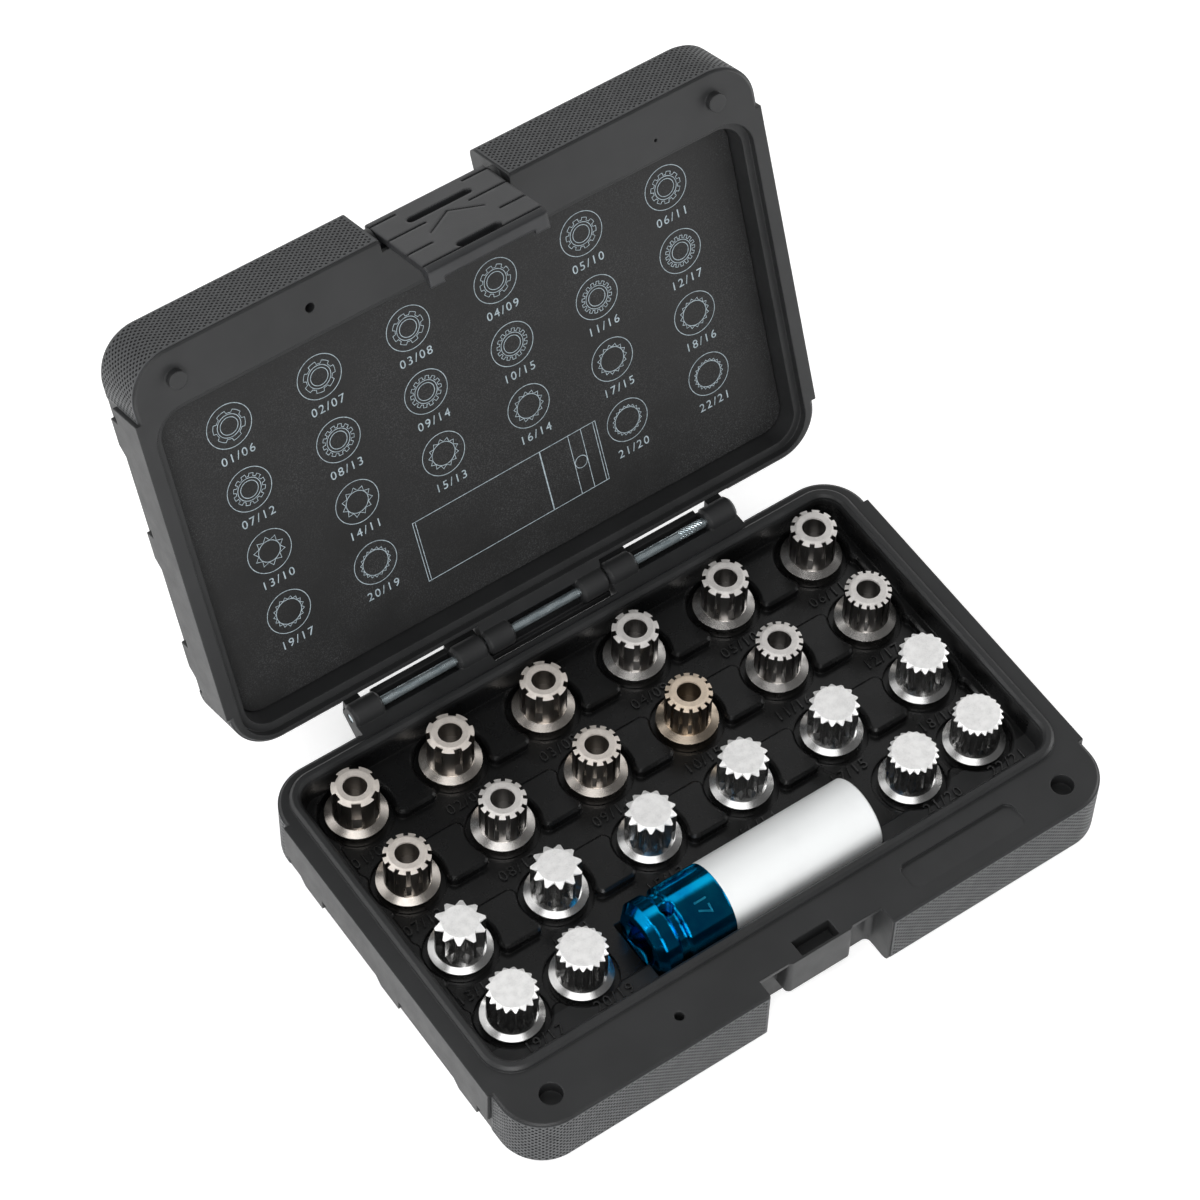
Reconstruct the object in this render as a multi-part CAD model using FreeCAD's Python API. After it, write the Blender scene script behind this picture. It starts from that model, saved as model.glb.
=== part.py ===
# Set of locking wheel bolt keys with their driver socket, in a hinged carry case.
# Millimetres. +X runs along the hinge, +Y from the latch to the hinge, +Z up.
# The origin is the middle of the case's underside. The lid stands open at rest.
import FreeCAD, Part
import math
import os
from collections import namedtuple

Vec = FreeCAD.Vector
Plan = namedtuple("Plan", "x0 x1 y0 y1 radius")

# Layout of the keys in the tray
KEY_COLUMNS = 6
COLUMN_PITCH = 36.0
ROW_PITCH = 29.9
FRONT_ROW_PITCH = 28.7
FRONT_PAIR_PITCH = 26.0
SIDE_MARGIN = 25.0
BACK_MARGIN = 19.0
FRONT_MARGIN = 43.6
RING_TEETH = ((6, 7, 8, 9, 10, 11), (12, 13, 14, 15, 16, 17))
SPLINE_TEETH = (10, 11, 13, 14, 15, 16)
FRONT_TEETH = (17, 19, 20, 21)

# Case shells
LID_HEIGHT = 24.0
CORNER_RADIUS = 15.0
EDGE_ROUND = 3.0
RIM_CHAMFER = 0.6
RIM_GAP = 0.4
OPEN_ANGLE = 110.4

# Smooth grip bands on the short sides, each with three tabs
BAND_PROUD = 1.6
BAND_HEIGHT = 15.0
BAND_FRONT_INSET = 20.0
BAND_BACK_INSET = 16.0
TAB_DROP = 4.5
TAB_LENGTH = 10.0
TAB_RAMP = 5.0
TAB_FRONT_INSET = 6.0
TAB_PITCH = 43.8

# Rim, tongue and tray
SIDE_RIM = 4.0
BACK_RIM = 2.8
FRONT_RIM = 20.8
TONGUE_WIDTH = 3.6
TONGUE_HEIGHT = 2.0
TONGUE_CLEARANCE = 0.8
TONGUE_CHAMFER = 1.0
TRAY_CORNER = 11.0
WALL_LEAN = 1.3
PAD_DEPTH = 8.0
PAD_HEIGHT = 3.5
PAD_HALF_WIDTH = 9.3
PAD_CORNER = 2.6
PAD_CHAMFER = 0.9
CHANNEL_CORNER = 1.8
CHANNEL_INSET = 3.2

# Key pockets and socket trough
POCKET_FLOOR = 2.6
POCKET_CLEARANCE = 1.9
HEX_CLEARANCE = 0.4
SHOULDER_GAP = 0.4
SHOULDER_DEPTH = 1.8
SEAT_GAP = 0.1
TROUGH_CLEARANCE = 0.3
TROUGH_END_GAP = 1.2

# Keys
HEX_FLATS = 17.0
HEX_LENGTH = 9.4
FLANGE_DIAMETER = 20.6
FLANGE_HEIGHT = 4.4
FLANGE_BEVEL_HEIGHT = 0.9
SPLINE_LENGTH = 14.4
RUNOUT_START = 4.4
RUNOUT_END = 1.3
RING_TIP_DIAMETER = 15.4
RING_ROOT_DIAMETER = 12.8
RING_FACE_DIAMETER = 11.6
RING_CHAMFER = 1.5
RING_BORE = 8.0
RING_BORE_DEPTH = 8.4
RING_SLOT_SHARE = 0.42
SPLINE_TIP_DIAMETER = 16.4
SPLINE_CHAMFER = 1.8
GROOVE_SHARE = 0.9
GROOVE_ANGLE = 88.0

# Driver socket and its sleeve
SOCKET_DIAMETER = 26.5
SOCKET_LENGTH = 85.0
SOCKET_AXIS_DEPTH = 6.5
SOCKET_FORWARD = 2.9
SOCKET_SHIFT = -1.5
SLEEVE_LENGTH = 57.0
SLEEVE_WALL = 1.6
SLEEVE_FIT = 0.05
SLEEVE_CHAMFER = 0.6
DRIVE_SQUARE = 12.9
DRIVE_DEPTH = 16.0
DRIVE_LEAD = 1.2
SOCKET_HEX = 17.2
SOCKET_HEX_DEPTH = 24.0
SOCKET_BORE = 15.0
SOCKET_CHAMFER = 2.6
SOCKET_MOUTH_CHAMFER = 1.0
RING_GROOVE_CENTRE = 9.5
RING_GROOVE_WIDTH = 4.4
RING_GROOVE_FLOOR = 2.4
RING_GROOVE_DEPTH = 1.3
PIN_HOLE = 5.0

# Hinge
HINGE_OFFSET = 7.0
HINGE_PIN = 3.2
HINGE_FIT = 0.05
KNUCKLE_DIAMETER = 9.0
KNUCKLE_CHAMFER = 1.0
KNUCKLE_GAP = 0.5
LID_BLOCK_HALF = 23.7
LID_KNUCKLE = 10.4
BASE_BLOCK = 51.0
BASE_KNUCKLE = 11.2
TROUGH_RADIUS = 3.7
TROUGH_WALL = 2.3
TROUGH_LIP = 2.0
OUTER_EAR = 5.6
GUSSET_DROP = 11.0
PIN_INSET = 0.2
BLOCK_ROOT = 1.0

# Latch, its pin and the catch
LATCH_WIDTH = 43.0
LATCH_PLATE = 2.5
LATCH_INSET = 0.5
LATCH_BARREL = 8.6
LATCH_BROW = 1.2
LATCH_BOSS_GAP = 0.4
LATCH_PIN = 3.0
LATCH_PIN_FIT = 0.05
LATCH_PIN_SEAT = 6.0
LATCH_PIVOT_HEIGHT = 9.3
LATCH_LIP = 2.4
LATCH_BEND = 2.0
LATCH_FLOOR_GAP = 0.7
LATCH_CURL = 5.0
LATCH_SLOT_WIDTH = 3.0
LATCH_UPPER_SLOT = 23.3
LATCH_LOWER_SLOT = 16.2
LATCH_UPPER_SLOT_DROP = 5.7
LATCH_LOWER_SLOT_RISE = 4.5
LATCH_GROOVE = 0.9
LATCH_GROOVE_DEPTH = 0.6
LATCH_GROOVE_RISE = 0.7
LATCH_GROOVE_LENGTHS = (9.5, 13.8, 9.5)
LATCH_ARROW_HALF = 10.0
LATCH_ARROW_DROP = 9.7
LATCH_ARROW_HEIGHT = 6.6
LATCH_ARROW_LINE = 0.85
LATCH_FOOT_WIDTH = 5.0
LATCH_FOOT_REACH = 7.2
LATCH_FOOT_HEIGHT = 3.4
CATCH_GAP = 0.3
CATCH_HALF_WIDTH = 12.5
CATCH_BASE = 8.0
CATCH_SET_BACK = 5.2
CATCH_CORNER = 1.8
CATCH_ROOT = 4.0
HOOK_GAP = 0.6
NOTCH_HALF_WIDTH = 23.6
NOTCH_DEPTH = 11.0
NOTCH_CORNER = 2.0
SHELF_THICKNESS = 1.6
BASE_SHELF_SET_BACK = 6.0
LID_SHELF_SET_BACK = 4.0
SLOT_WIDTH = 14.4
SLOT_LENGTH = 5.9
SLOT_DEPTH = 6.0

# Small rim features
DOWEL_INSET = 16.4
DOWEL_SET_BACK = 10.0
DOWEL_DIAMETER = 6.2
DOWEL_HEIGHT = 2.6
DOWEL_HOLE_DEPTH = 5.0
DOWEL_CLEARANCE = 0.7
NEEDLE_HOLE = 3.2
NEEDLE_DEPTH = 5.0
NEEDLE_X = -51.0
MARK_HOLE = 1.2
MARK_DEPTH = 1.5
MARK_X = 75.7
MARK_SET_BACK = 13.5
RELIEF_DEPTH = 1.2
RELIEF_X = 58.5
RELIEF_LENGTH = 44.4
RELIEF_WIDTH = 10.0
RELIEF_SET_BACK = 5.0
RELIEF_CORNER = 3.0

# Lid recess and its card
CARD_THICKNESS = 1.5
CARD_CLEARANCE = 3.2
CARD_GAP = 0.4
CARD_SEAT = 0.05
LEDGE_WIDTH = 2.4
LEDGE_DEPTH = 3.2
RECESS_LEAN = 1.0

# Sizes worked out from the ones above
CASE_WIDTH = (KEY_COLUMNS - 1) * COLUMN_PITCH + 2 * SIDE_MARGIN
CASE_DEPTH = BACK_MARGIN + 2 * ROW_PITCH + FRONT_ROW_PITCH + FRONT_MARGIN
BODY_WIDTH = CASE_WIDTH - 2 * BAND_PROUD
FRONT = -CASE_DEPTH / 2
BACK = CASE_DEPTH / 2
KEY_BASE = POCKET_FLOOR + SEAT_GAP
FLANGE_BASE = KEY_BASE + HEX_LENGTH
SHOULDER = FLANGE_BASE - SHOULDER_GAP
CHANNEL = SHOULDER + SHOULDER_DEPTH
PAD_TOP = CHANNEL + PAD_HEIGHT
RIM = PAD_TOP + PAD_DEPTH
LID_RIM = RIM + RIM_GAP
ROWS = [BACK - BACK_MARGIN - row * ROW_PITCH for row in range(3)]
FRONT_ROW = ROWS[-1] - FRONT_ROW_PITCH
COLUMNS = [(column - (KEY_COLUMNS - 1) / 2) * COLUMN_PITCH for column in range(KEY_COLUMNS)]
FRONT_COLUMNS = (COLUMNS[0], COLUMNS[0] + FRONT_PAIR_PITCH, COLUMNS[-1] - FRONT_PAIR_PITCH, COLUMNS[-1])
SPLINE_BASE = HEX_LENGTH + FLANGE_HEIGHT + FLANGE_BEVEL_HEIGHT
KEY_LENGTH = SPLINE_BASE + SPLINE_LENGTH
KEY_TOP = KEY_BASE + KEY_LENGTH
POCKET_RADIUS = FLANGE_DIAMETER / 2 + POCKET_CLEARANCE
SOCKET_RADIUS = SOCKET_DIAMETER / 2
SOCKET_AXIS = Vec(SOCKET_SHIFT, FRONT_ROW - SOCKET_FORWARD, RIM - SOCKET_AXIS_DEPTH)
DRIVE_END = SOCKET_SHIFT - SOCKET_LENGTH / 2
MOUTH_END = SOCKET_SHIFT + SOCKET_LENGTH / 2
HINGE = Vec(0, BACK + HINGE_OFFSET, RIM)
PIVOT = Vec(0, FRONT + LATCH_INSET + LATCH_BARREL / 2, RIM + LATCH_PIVOT_HEIGHT)
CARD_LEVEL = max(KEY_TOP, SOCKET_AXIS.z + SOCKET_RADIUS) + CARD_CLEARANCE
BODY = Plan(-BODY_WIDTH / 2, BODY_WIDTH / 2, FRONT, BACK, CORNER_RADIUS)
TONGUE = Plan(
    BODY.x0 + SIDE_RIM, BODY.x1 - SIDE_RIM, FRONT + FRONT_RIM, BACK - BACK_RIM, TRAY_CORNER
)


# Basic forms


def box(x0, x1, y0, y1, z0, z1):
    return Part.makeBox(x1 - x0, y1 - y0, z1 - z0, Vec(x0, y0, z0))


def rod_x(radius, x0, x1, y, z):
    return Part.makeCylinder(radius, x1 - x0, Vec(x0, y, z), Vec(1, 0, 0))


def rod_z(radius, x, y, z0, z1):
    return Part.makeCylinder(radius, z1 - z0, Vec(x, y, z0))


def prism_x(profile, x0, x1):
    """A closed outline of (y, z) points, pushed from x0 to x1."""
    points = [Vec(x0, y, z) for y, z in profile]
    face = Part.Face(Part.makePolygon(points + points[:1]))
    return face.extrude(Vec(x1 - x0, 0, 0))


def revolved(profile):
    """A closed outline of (radius, z) points, turned about the Z axis."""
    points = [Vec(radius, 0, z) for radius, z in profile]
    face = Part.Face(Part.makePolygon(points + points[:1]))
    return face.revolve(Vec(0, 0, 0), Vec(0, 0, 1), 360)


def hexagon(flats, z0, z1):
    corner = flats / math.sqrt(3)
    points = [Vec(corner * math.cos(math.radians(60 * k)), corner * math.sin(math.radians(60 * k)), z0)
              for k in range(7)]
    return Part.Face(Part.makePolygon(points)).extrude(Vec(0, 0, z1 - z0))


def inset(plan, gap):
    """The plan drawn in by gap on every side."""
    return Plan(plan.x0 + gap, plan.x1 - gap, plan.y0 + gap, plan.y1 - gap, plan.radius - gap)


def outline(plan, z):
    """A rectangle with round corners, as a closed wire at height z."""
    bend = plan.radius * (1 - math.sqrt(0.5))
    edges = []
    corners = (
        (plan.x1, plan.y0, -1, 1),
        (plan.x1, plan.y1, -1, -1),
        (plan.x0, plan.y1, 1, -1),
        (plan.x0, plan.y0, 1, 1),
    )
    ends = []
    for turn, (x, y, sx, sy) in enumerate(corners):
        along_x = Vec(x + sx * plan.radius, y, z)
        along_y = Vec(x, y + sy * plan.radius, z)
        middle = Vec(x + sx * bend, y + sy * bend, z)
        start, end = (along_x, along_y) if turn % 2 == 0 else (along_y, along_x)
        edges.append(Part.Arc(start, middle, end).toShape())
        ends.append((start, end))
    for turn in range(4):
        edges.append(Part.LineSegment(ends[turn][1], ends[(turn + 1) % 4][0]).toShape())
    return Part.Wire(Part.__sortEdges__(edges))


def slab(plan, z0, z1):
    return Part.Face(outline(plan, z0)).extrude(Vec(0, 0, z1 - z0))


def leaning_slab(plan, z0, z1, lean):
    """A slab whose sides lean out by lean from z0 up to z1, where it has the plan's size."""
    return Part.makeLoft([outline(inset(plan, lean), z0), outline(plan, z1)], True, True)


def level_edges(shape, z):
    """The shape's edges that lie wholly at height z."""
    return [edge for edge in shape.Edges
            if abs(edge.BoundBox.ZMin - z) < 1e-4 and abs(edge.BoundBox.ZMax - z) < 1e-4]


def shell_block(z0, z1, outer):
    """The block that a case half is cut from: a rounded outer edge and a broken rim edge."""
    block = slab(BODY, z0, z1)
    rim = z1 if outer == z0 else z0
    block = block.makeFillet(EDGE_ROUND, level_edges(block, outer))
    return block.makeChamfer(RIM_CHAMFER, level_edges(block, rim))


# Keys, each built on its own axis with its hexagon's end at z = 0


def key_shank(foot):
    """The hexagon that the socket drives, with the flange above it, bevelled up to the barrel's foot."""
    rim = HEX_LENGTH + FLANGE_HEIGHT
    flange = revolved((
        (0, HEX_LENGTH),
        (FLANGE_DIAMETER / 2, HEX_LENGTH),
        (FLANGE_DIAMETER / 2, rim),
        (foot, SPLINE_BASE),
        (0, SPLINE_BASE),
    ))
    return flange.fuse(hexagon(HEX_FLATS, 0, HEX_LENGTH))


def spread(tool, count):
    """Copies of a cutting tool, evenly round the Z axis."""
    tools = []
    for step in range(count):
        copy = tool.copy()
        copy.rotate(Vec(0, 0, 0), Vec(0, 0, 1), 360 * step / count)
        tools.append(copy)
    return tools


def ring_key(teeth):
    """A tubular key: square teeth round a bore, each slot running out above the flange."""
    tip = RING_TIP_DIAMETER / 2
    root = RING_ROOT_DIAMETER / 2
    barrel = revolved((
        (0, SPLINE_BASE),
        (tip, SPLINE_BASE),
        (tip, KEY_LENGTH - RING_CHAMFER),
        (RING_FACE_DIAMETER / 2, KEY_LENGTH),
        (0, KEY_LENGTH),
    ))
    slot_width = RING_SLOT_SHARE * math.pi * (tip + root) / teeth
    overshoot = tip - root
    run = (RUNOUT_START - RUNOUT_END) * 2
    points = [
        Vec(root, -slot_width / 2, KEY_LENGTH + overshoot),
        Vec(tip + overshoot, -slot_width / 2, KEY_LENGTH + overshoot),
        Vec(tip + overshoot, -slot_width / 2, SPLINE_BASE + RUNOUT_START - run),
        Vec(root, -slot_width / 2, SPLINE_BASE + RUNOUT_START),
    ]
    slot = Part.Face(Part.makePolygon(points + points[:1])).extrude(Vec(0, slot_width, 0))
    bore = rod_z(RING_BORE / 2, 0, 0, KEY_LENGTH - RING_BORE_DEPTH, KEY_LENGTH + overshoot)
    barrel = barrel.cut(spread(slot, teeth) + [bore])
    return key_shank(tip).fuse(barrel).removeSplitter()


def spline_key(teeth):
    """A solid key: pointed teeth, each V groove running out above the flange."""
    tip = SPLINE_TIP_DIAMETER / 2
    half_angle = math.radians(GROOVE_ANGLE / 2)
    groove_width = GROOVE_SHARE * 2 * math.pi * tip / teeth
    depth = groove_width / 2 / math.tan(half_angle)
    root = tip - depth
    barrel = revolved((
        (0, SPLINE_BASE),
        (tip, SPLINE_BASE),
        (tip, KEY_LENGTH - SPLINE_CHAMFER),
        (root, KEY_LENGTH),
        (0, KEY_LENGTH),
    ))
    reach = tip + depth
    flare = (reach - root) * math.tan(half_angle)
    start = SPLINE_BASE + RUNOUT_START
    corners = [Vec(root, 0, start), Vec(reach, -flare, start), Vec(reach, flare, start)]
    vee = Part.Face(Part.makePolygon(corners + corners[:1]))
    straight = vee.extrude(Vec(0, 0, SPLINE_LENGTH))
    run_out = vee.extrude(Vec(2 * depth, 0, -2 * (RUNOUT_START - RUNOUT_END)))
    barrel = barrel.cut(spread(straight, teeth) + spread(run_out, teeth))
    return key_shank(tip).fuse(barrel).removeSplitter()


def key_places():
    """Each key's name, builder, tooth count and place in the tray."""
    places = []
    for row, counts in zip(ROWS, RING_TEETH):
        for x, teeth in zip(COLUMNS, counts):
            places.append((f"ring_key_{teeth:02d}", ring_key, teeth, x, row))
    for x, teeth in zip(COLUMNS, SPLINE_TEETH):
        places.append((f"spline_key_{teeth:02d}", spline_key, teeth, x, ROWS[-1]))
    for x, teeth in zip(FRONT_COLUMNS, FRONT_TEETH):
        places.append((f"spline_key_{teeth:02d}", spline_key, teeth, x, FRONT_ROW))
    return places


# Driver socket


def along_axis(shape):
    """Turns a shape built on the Z axis to lie on the socket's axis, its foot at the drive end."""
    shape.rotate(Vec(0, 0, 0), Vec(0, 1, 0), 90)
    shape.translate(Vec(DRIVE_END, SOCKET_AXIS.y, SOCKET_AXIS.z))
    return shape


def socket_body():
    """Impact socket: square drive, retaining groove and cross hole, hexagon mouth."""
    neck = SOCKET_RADIUS - SLEEVE_WALL
    shoulder = SOCKET_LENGTH - SLEEVE_LENGTH
    mid = RING_GROOVE_CENTRE
    groove_floor = SOCKET_RADIUS - RING_GROOVE_DEPTH
    body = revolved((
        (0, 0),
        (SOCKET_RADIUS - SOCKET_CHAMFER, 0),
        (SOCKET_RADIUS, SOCKET_CHAMFER),
        (SOCKET_RADIUS, mid - RING_GROOVE_WIDTH / 2),
        (groove_floor, mid - RING_GROOVE_FLOOR / 2),
        (groove_floor, mid + RING_GROOVE_FLOOR / 2),
        (SOCKET_RADIUS, mid + RING_GROOVE_WIDTH / 2),
        (SOCKET_RADIUS, shoulder),
        (neck, shoulder),
        (neck, SOCKET_LENGTH - SOCKET_MOUTH_CHAMFER),
        (neck - SOCKET_MOUTH_CHAMFER, SOCKET_LENGTH),
        (0, SOCKET_LENGTH),
    ))
    half = DRIVE_SQUARE / 2
    drive = box(-half, half, -half, half, -1, DRIVE_DEPTH)
    lead = Part.makeCone(half + DRIVE_LEAD, half, DRIVE_LEAD)
    mouth = hexagon(SOCKET_HEX, SOCKET_LENGTH - SOCKET_HEX_DEPTH, SOCKET_LENGTH + 1)
    bore = rod_z(SOCKET_BORE / 2, 0, 0, DRIVE_DEPTH - 1, SOCKET_LENGTH)
    cross = Part.makeCylinder(
        PIN_HOLE / 2, SOCKET_DIAMETER, Vec(-SOCKET_RADIUS, 0, RING_GROOVE_CENTRE), Vec(1, 0, 0)
    )
    return along_axis(body.cut([drive, lead, mouth, bore, cross]))


def socket_sleeve():
    """Plain plastic sleeve that keeps the socket from marking a wheel."""
    inner = SOCKET_RADIUS - SLEEVE_WALL + SLEEVE_FIT
    start = SOCKET_LENGTH - SLEEVE_LENGTH + SLEEVE_FIT
    sleeve = rod_z(SOCKET_RADIUS, 0, 0, start, SOCKET_LENGTH)
    sleeve = sleeve.makeChamfer(SLEEVE_CHAMFER, level_edges(sleeve, SOCKET_LENGTH))
    return along_axis(sleeve.cut(rod_z(inner, 0, 0, start - 1, SOCKET_LENGTH + 1)))


# Hinge


def hinge_block(x0, x1, knuckle, flat, lip, ears):
    """One hinge block about the X axis: an arm, a knuckle at each end, a trough, and ears behind the knuckles."""
    root = -HINGE_OFFSET - BLOCK_ROOT
    back = TROUGH_RADIUS + TROUGH_WALL
    radius = KNUCKLE_DIAMETER / 2
    keel = (0, -radius - TROUGH_WALL / 2)
    inner = (x0 + knuckle, x1 - knuckle)
    arm = prism_x(((root, flat), (radius, flat), (radius, -TROUGH_WALL), keel, (root, -GUSSET_DROP)), x0, x1)
    walls = [
        prism_x((keel, (back, -TROUGH_WALL), (back, flat + rise), (0, flat + rise)), *span)
        for span, rise in [(inner, lip)] + [(ear, TROUGH_LIP) for ear in ears]
    ]
    block = arm.multiFuse(walls).cut(rod_x(TROUGH_RADIUS, *inner, 0, 0))
    for start in (x0, x1 - knuckle):
        knuckle_rod = rod_x(radius, start, start + knuckle, 0, 0)
        ends = [edge for edge in knuckle_rod.Edges if edge.BoundBox.XLength < knuckle / 2]
        block = block.fuse(knuckle_rod.makeChamfer(KNUCKLE_CHAMFER, ends))
    return block.cut(rod_x(HINGE_PIN / 2 + HINGE_FIT, x0, x1, 0, 0))


def base_hinge_blocks():
    start = LID_BLOCK_HALF + KNUCKLE_GAP
    end = start + BASE_BLOCK
    ears = ((start, start + BASE_KNUCKLE), (end - KNUCKLE_CHAMFER - OUTER_EAR, end - KNUCKLE_CHAMFER))
    right = hinge_block(start, end, BASE_KNUCKLE, 0, 0, ears)
    blocks = [right, right.mirror(Vec(0, 0, 0), Vec(1, 0, 0))]
    for block in blocks:
        block.translate(HINGE)
    return blocks


def lid_hinge_block():
    half = LID_BLOCK_HALF
    ears = ((-half, LID_KNUCKLE - half), (half - LID_KNUCKLE, half))
    block = hinge_block(-half, half, LID_KNUCKLE, -RIM_GAP, TROUGH_LIP, ears)
    block = block.mirror(Vec(0, 0, 0), Vec(0, 0, 1))
    block.translate(HINGE)
    return block


def hinge_pin():
    reach = LID_BLOCK_HALF + KNUCKLE_GAP + BASE_BLOCK - PIN_INSET
    return rod_x(HINGE_PIN / 2, -reach, reach, HINGE.y, HINGE.z)


# Case halves, both built as when the case is shut


def grip_bands(rim, down):
    """The smooth bands on both short sides; down is -1 on the base and 1 on the lid."""
    y0 = FRONT + BAND_FRONT_INSET
    y1 = BACK - BAND_BACK_INSET
    edge = rim + down * BAND_HEIGHT
    bands = []
    for side in (-1, 1):
        x0, x1 = sorted((side * (BODY_WIDTH / 2 - BAND_PROUD), side * CASE_WIDTH / 2))
        z0, z1 = sorted((rim, edge))
        bands.append(box(x0, x1, y0, y1, z0, z1))
        for tab in range(3):
            start = y0 + TAB_FRONT_INSET + tab * TAB_PITCH
            foot = edge + down * TAB_DROP
            profile = (
                (start, edge - down), (start + TAB_LENGTH + TAB_RAMP, edge - down),
                (start + TAB_LENGTH + TAB_RAMP, edge), (start + TAB_LENGTH, foot), (start, foot),
            )
            bands.append(prism_x(profile, x0, x1))
    return bands


def tray_channels():
    """The plan of the low floor round the keys, with every corner rounded, as a flat face."""
    floor = inset(TONGUE, TONGUE_WIDTH + WALL_LEAN)
    x0, x1 = floor.x0 + CHANNEL_INSET, floor.x1 - CHANNEL_INSET
    rows = ROWS + [FRONT_ROW]
    strips = [(x0, x1, ahead + PAD_HALF_WIDTH, behind - PAD_HALF_WIDTH)
              for behind, ahead in zip(rows, rows[1:])]
    strips.append((FRONT_COLUMNS[1], FRONT_COLUMNS[2], FRONT_ROW - PAD_HALF_WIDTH,
                   ROWS[-1] - PAD_HALF_WIDTH - CHANNEL_CORNER))
    faces = []
    for left, right, near, far in strips:
        corners = [Vec(left, near), Vec(right, near), Vec(right, far), Vec(left, far), Vec(left, near)]
        faces.append(Part.Face(Part.makePolygon(corners)))
    for _, _, _, x, y in key_places():
        faces.append(Part.Face(Part.Wire(Part.makeCircle(POCKET_RADIUS, Vec(x, y)))))
    plan = faces[0].multiFuse(faces[1:]).removeSplitter().Faces[0]
    plan = plan.makeOffset2D(PAD_CORNER).makeOffset2D(-PAD_CORNER)
    return plan.makeOffset2D(-CHANNEL_CORNER).makeOffset2D(CHANNEL_CORNER)


def channel_tool():
    """What is cut for the channels, which leaves pads with broken edges between the keys."""
    deck = slab(inset(TONGUE, TONGUE_WIDTH / 2), CHANNEL, PAD_TOP)
    channels = tray_channels()
    channels.translate(Vec(0, 0, CHANNEL))
    pads = deck.cut(channels.extrude(Vec(0, 0, PAD_HEIGHT)))
    border = inset(TONGUE, TONGUE_WIDTH)
    edges = [edge for edge in level_edges(pads, PAD_TOP)
             if edge.BoundBox.XMin > border.x0 and edge.BoundBox.XMax < border.x1
             and edge.BoundBox.YMin > border.y0 and edge.BoundBox.YMax < border.y1]
    return deck.cut(pads.makeChamfer(PAD_CHAMFER, edges))


def pocket_tools():
    """What is cut for each key: a round seat for the flange and a well that fits the hexagon."""
    tools = []
    for _, _, _, x, y in key_places():
        tools.append(rod_z(POCKET_RADIUS, x, y, SHOULDER, CHANNEL + 1))
        well = hexagon(HEX_FLATS + 2 * HEX_CLEARANCE, POCKET_FLOOR, SHOULDER + 1)
        well.translate(Vec(x, y))
        tools.append(well)
    return tools


def trough_tool():
    """What is cut for the socket: a half round trough with upright sides above its axis."""
    radius = SOCKET_RADIUS + TROUGH_CLEARANCE
    x0, x1 = DRIVE_END - TROUGH_END_GAP, MOUTH_END + TROUGH_END_GAP
    y, z = SOCKET_AXIS.y, SOCKET_AXIS.z
    round_part = rod_x(radius, x0, x1, y, z)
    return round_part.fuse(box(x0, x1, y - radius, y + radius, z, RIM))


def notch_tool(z0, z1):
    """The gap in the front wall that the latch hangs in."""
    plan = Plan(-NOTCH_HALF_WIDTH, NOTCH_HALF_WIDTH, FRONT - NOTCH_DEPTH, FRONT + NOTCH_DEPTH, NOTCH_CORNER)
    return slab(plan, z0, z1)


def relief_tool():
    """The sloped finger relief in the front rim: deepest at its back, and nothing at its front."""
    x0, x1 = RELIEF_X - RELIEF_LENGTH / 2, RELIEF_X + RELIEF_LENGTH / 2
    y0 = FRONT + RELIEF_SET_BACK
    y1 = y0 + RELIEF_WIDTH
    block = slab(Plan(x0, x1, y0, y1, RELIEF_CORNER), RIM - RELIEF_DEPTH, RIM + 1)
    return block.common(prism_x(((y0, RIM), (y1, RIM - RELIEF_DEPTH), (y1, RIM + 1), (y0, RIM + 1)), x0, x1))


def dowel_places():
    x = CASE_WIDTH / 2 - DOWEL_INSET
    return [(side * x, FRONT + DOWEL_SET_BACK) for side in (-1, 1)]


def base_case():
    """Lower half: shell with grip bands, tongue, tray, latch catch and two hinge blocks."""
    shell = shell_block(0, RIM, 0)
    tongue = slab(TONGUE, RIM - 1, RIM + TONGUE_HEIGHT)
    tongue = tongue.cut(slab(inset(TONGUE, TONGUE_WIDTH), RIM - 2, RIM + TONGUE_HEIGHT + 1))
    tongue = tongue.makeChamfer(TONGUE_CHAMFER, level_edges(tongue, RIM + TONGUE_HEIGHT))
    cavity_plan = inset(TONGUE, TONGUE_WIDTH)
    cavity = leaning_slab(cavity_plan, PAD_TOP, RIM + TONGUE_HEIGHT / 2, WALL_LEAN)
    shell = shell.multiFuse(grip_bands(RIM, -1))
    shell = shell.cut(notch_tool(-1, RIM - SHELF_THICKNESS))
    shell = shell.cut(box(-NOTCH_HALF_WIDTH, NOTCH_HALF_WIDTH, FRONT - 1, FRONT + BASE_SHELF_SET_BACK,
                          -1, RIM + 1))
    y0, y1 = FRONT + CATCH_SET_BACK, FRONT + NOTCH_DEPTH + CATCH_ROOT
    catch = slab(Plan(-CATCH_HALF_WIDTH, CATCH_HALF_WIDTH, y0, y1, CATCH_CORNER), CATCH_BASE, RIM)
    shell = shell.multiFuse([tongue, catch] + base_hinge_blocks())
    slot_front = FRONT + BASE_SHELF_SET_BACK
    slot = box(-SLOT_WIDTH / 2, SLOT_WIDTH / 2, slot_front, slot_front + SLOT_LENGTH, RIM - SLOT_DEPTH, RIM + 1)
    tools = [cavity, channel_tool(), trough_tool(), slot, relief_tool()]
    tools.append(rod_z(NEEDLE_HOLE / 2, NEEDLE_X, FRONT + DOWEL_SET_BACK, RIM - NEEDLE_DEPTH, RIM + 1))
    for x, y in dowel_places():
        tools.append(rod_z(DOWEL_DIAMETER / 2 + DOWEL_CLEARANCE, x, y, RIM - DOWEL_HOLE_DEPTH, RIM + 1))
    return shell.cut(tools + pocket_tools()).removeSplitter()


def opened(shape):
    """Turns a piece of the shut lid back to where the lid stands open."""
    shape.rotate(HINGE, Vec(1, 0, 0), -OPEN_ANGLE)
    return shape


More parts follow.
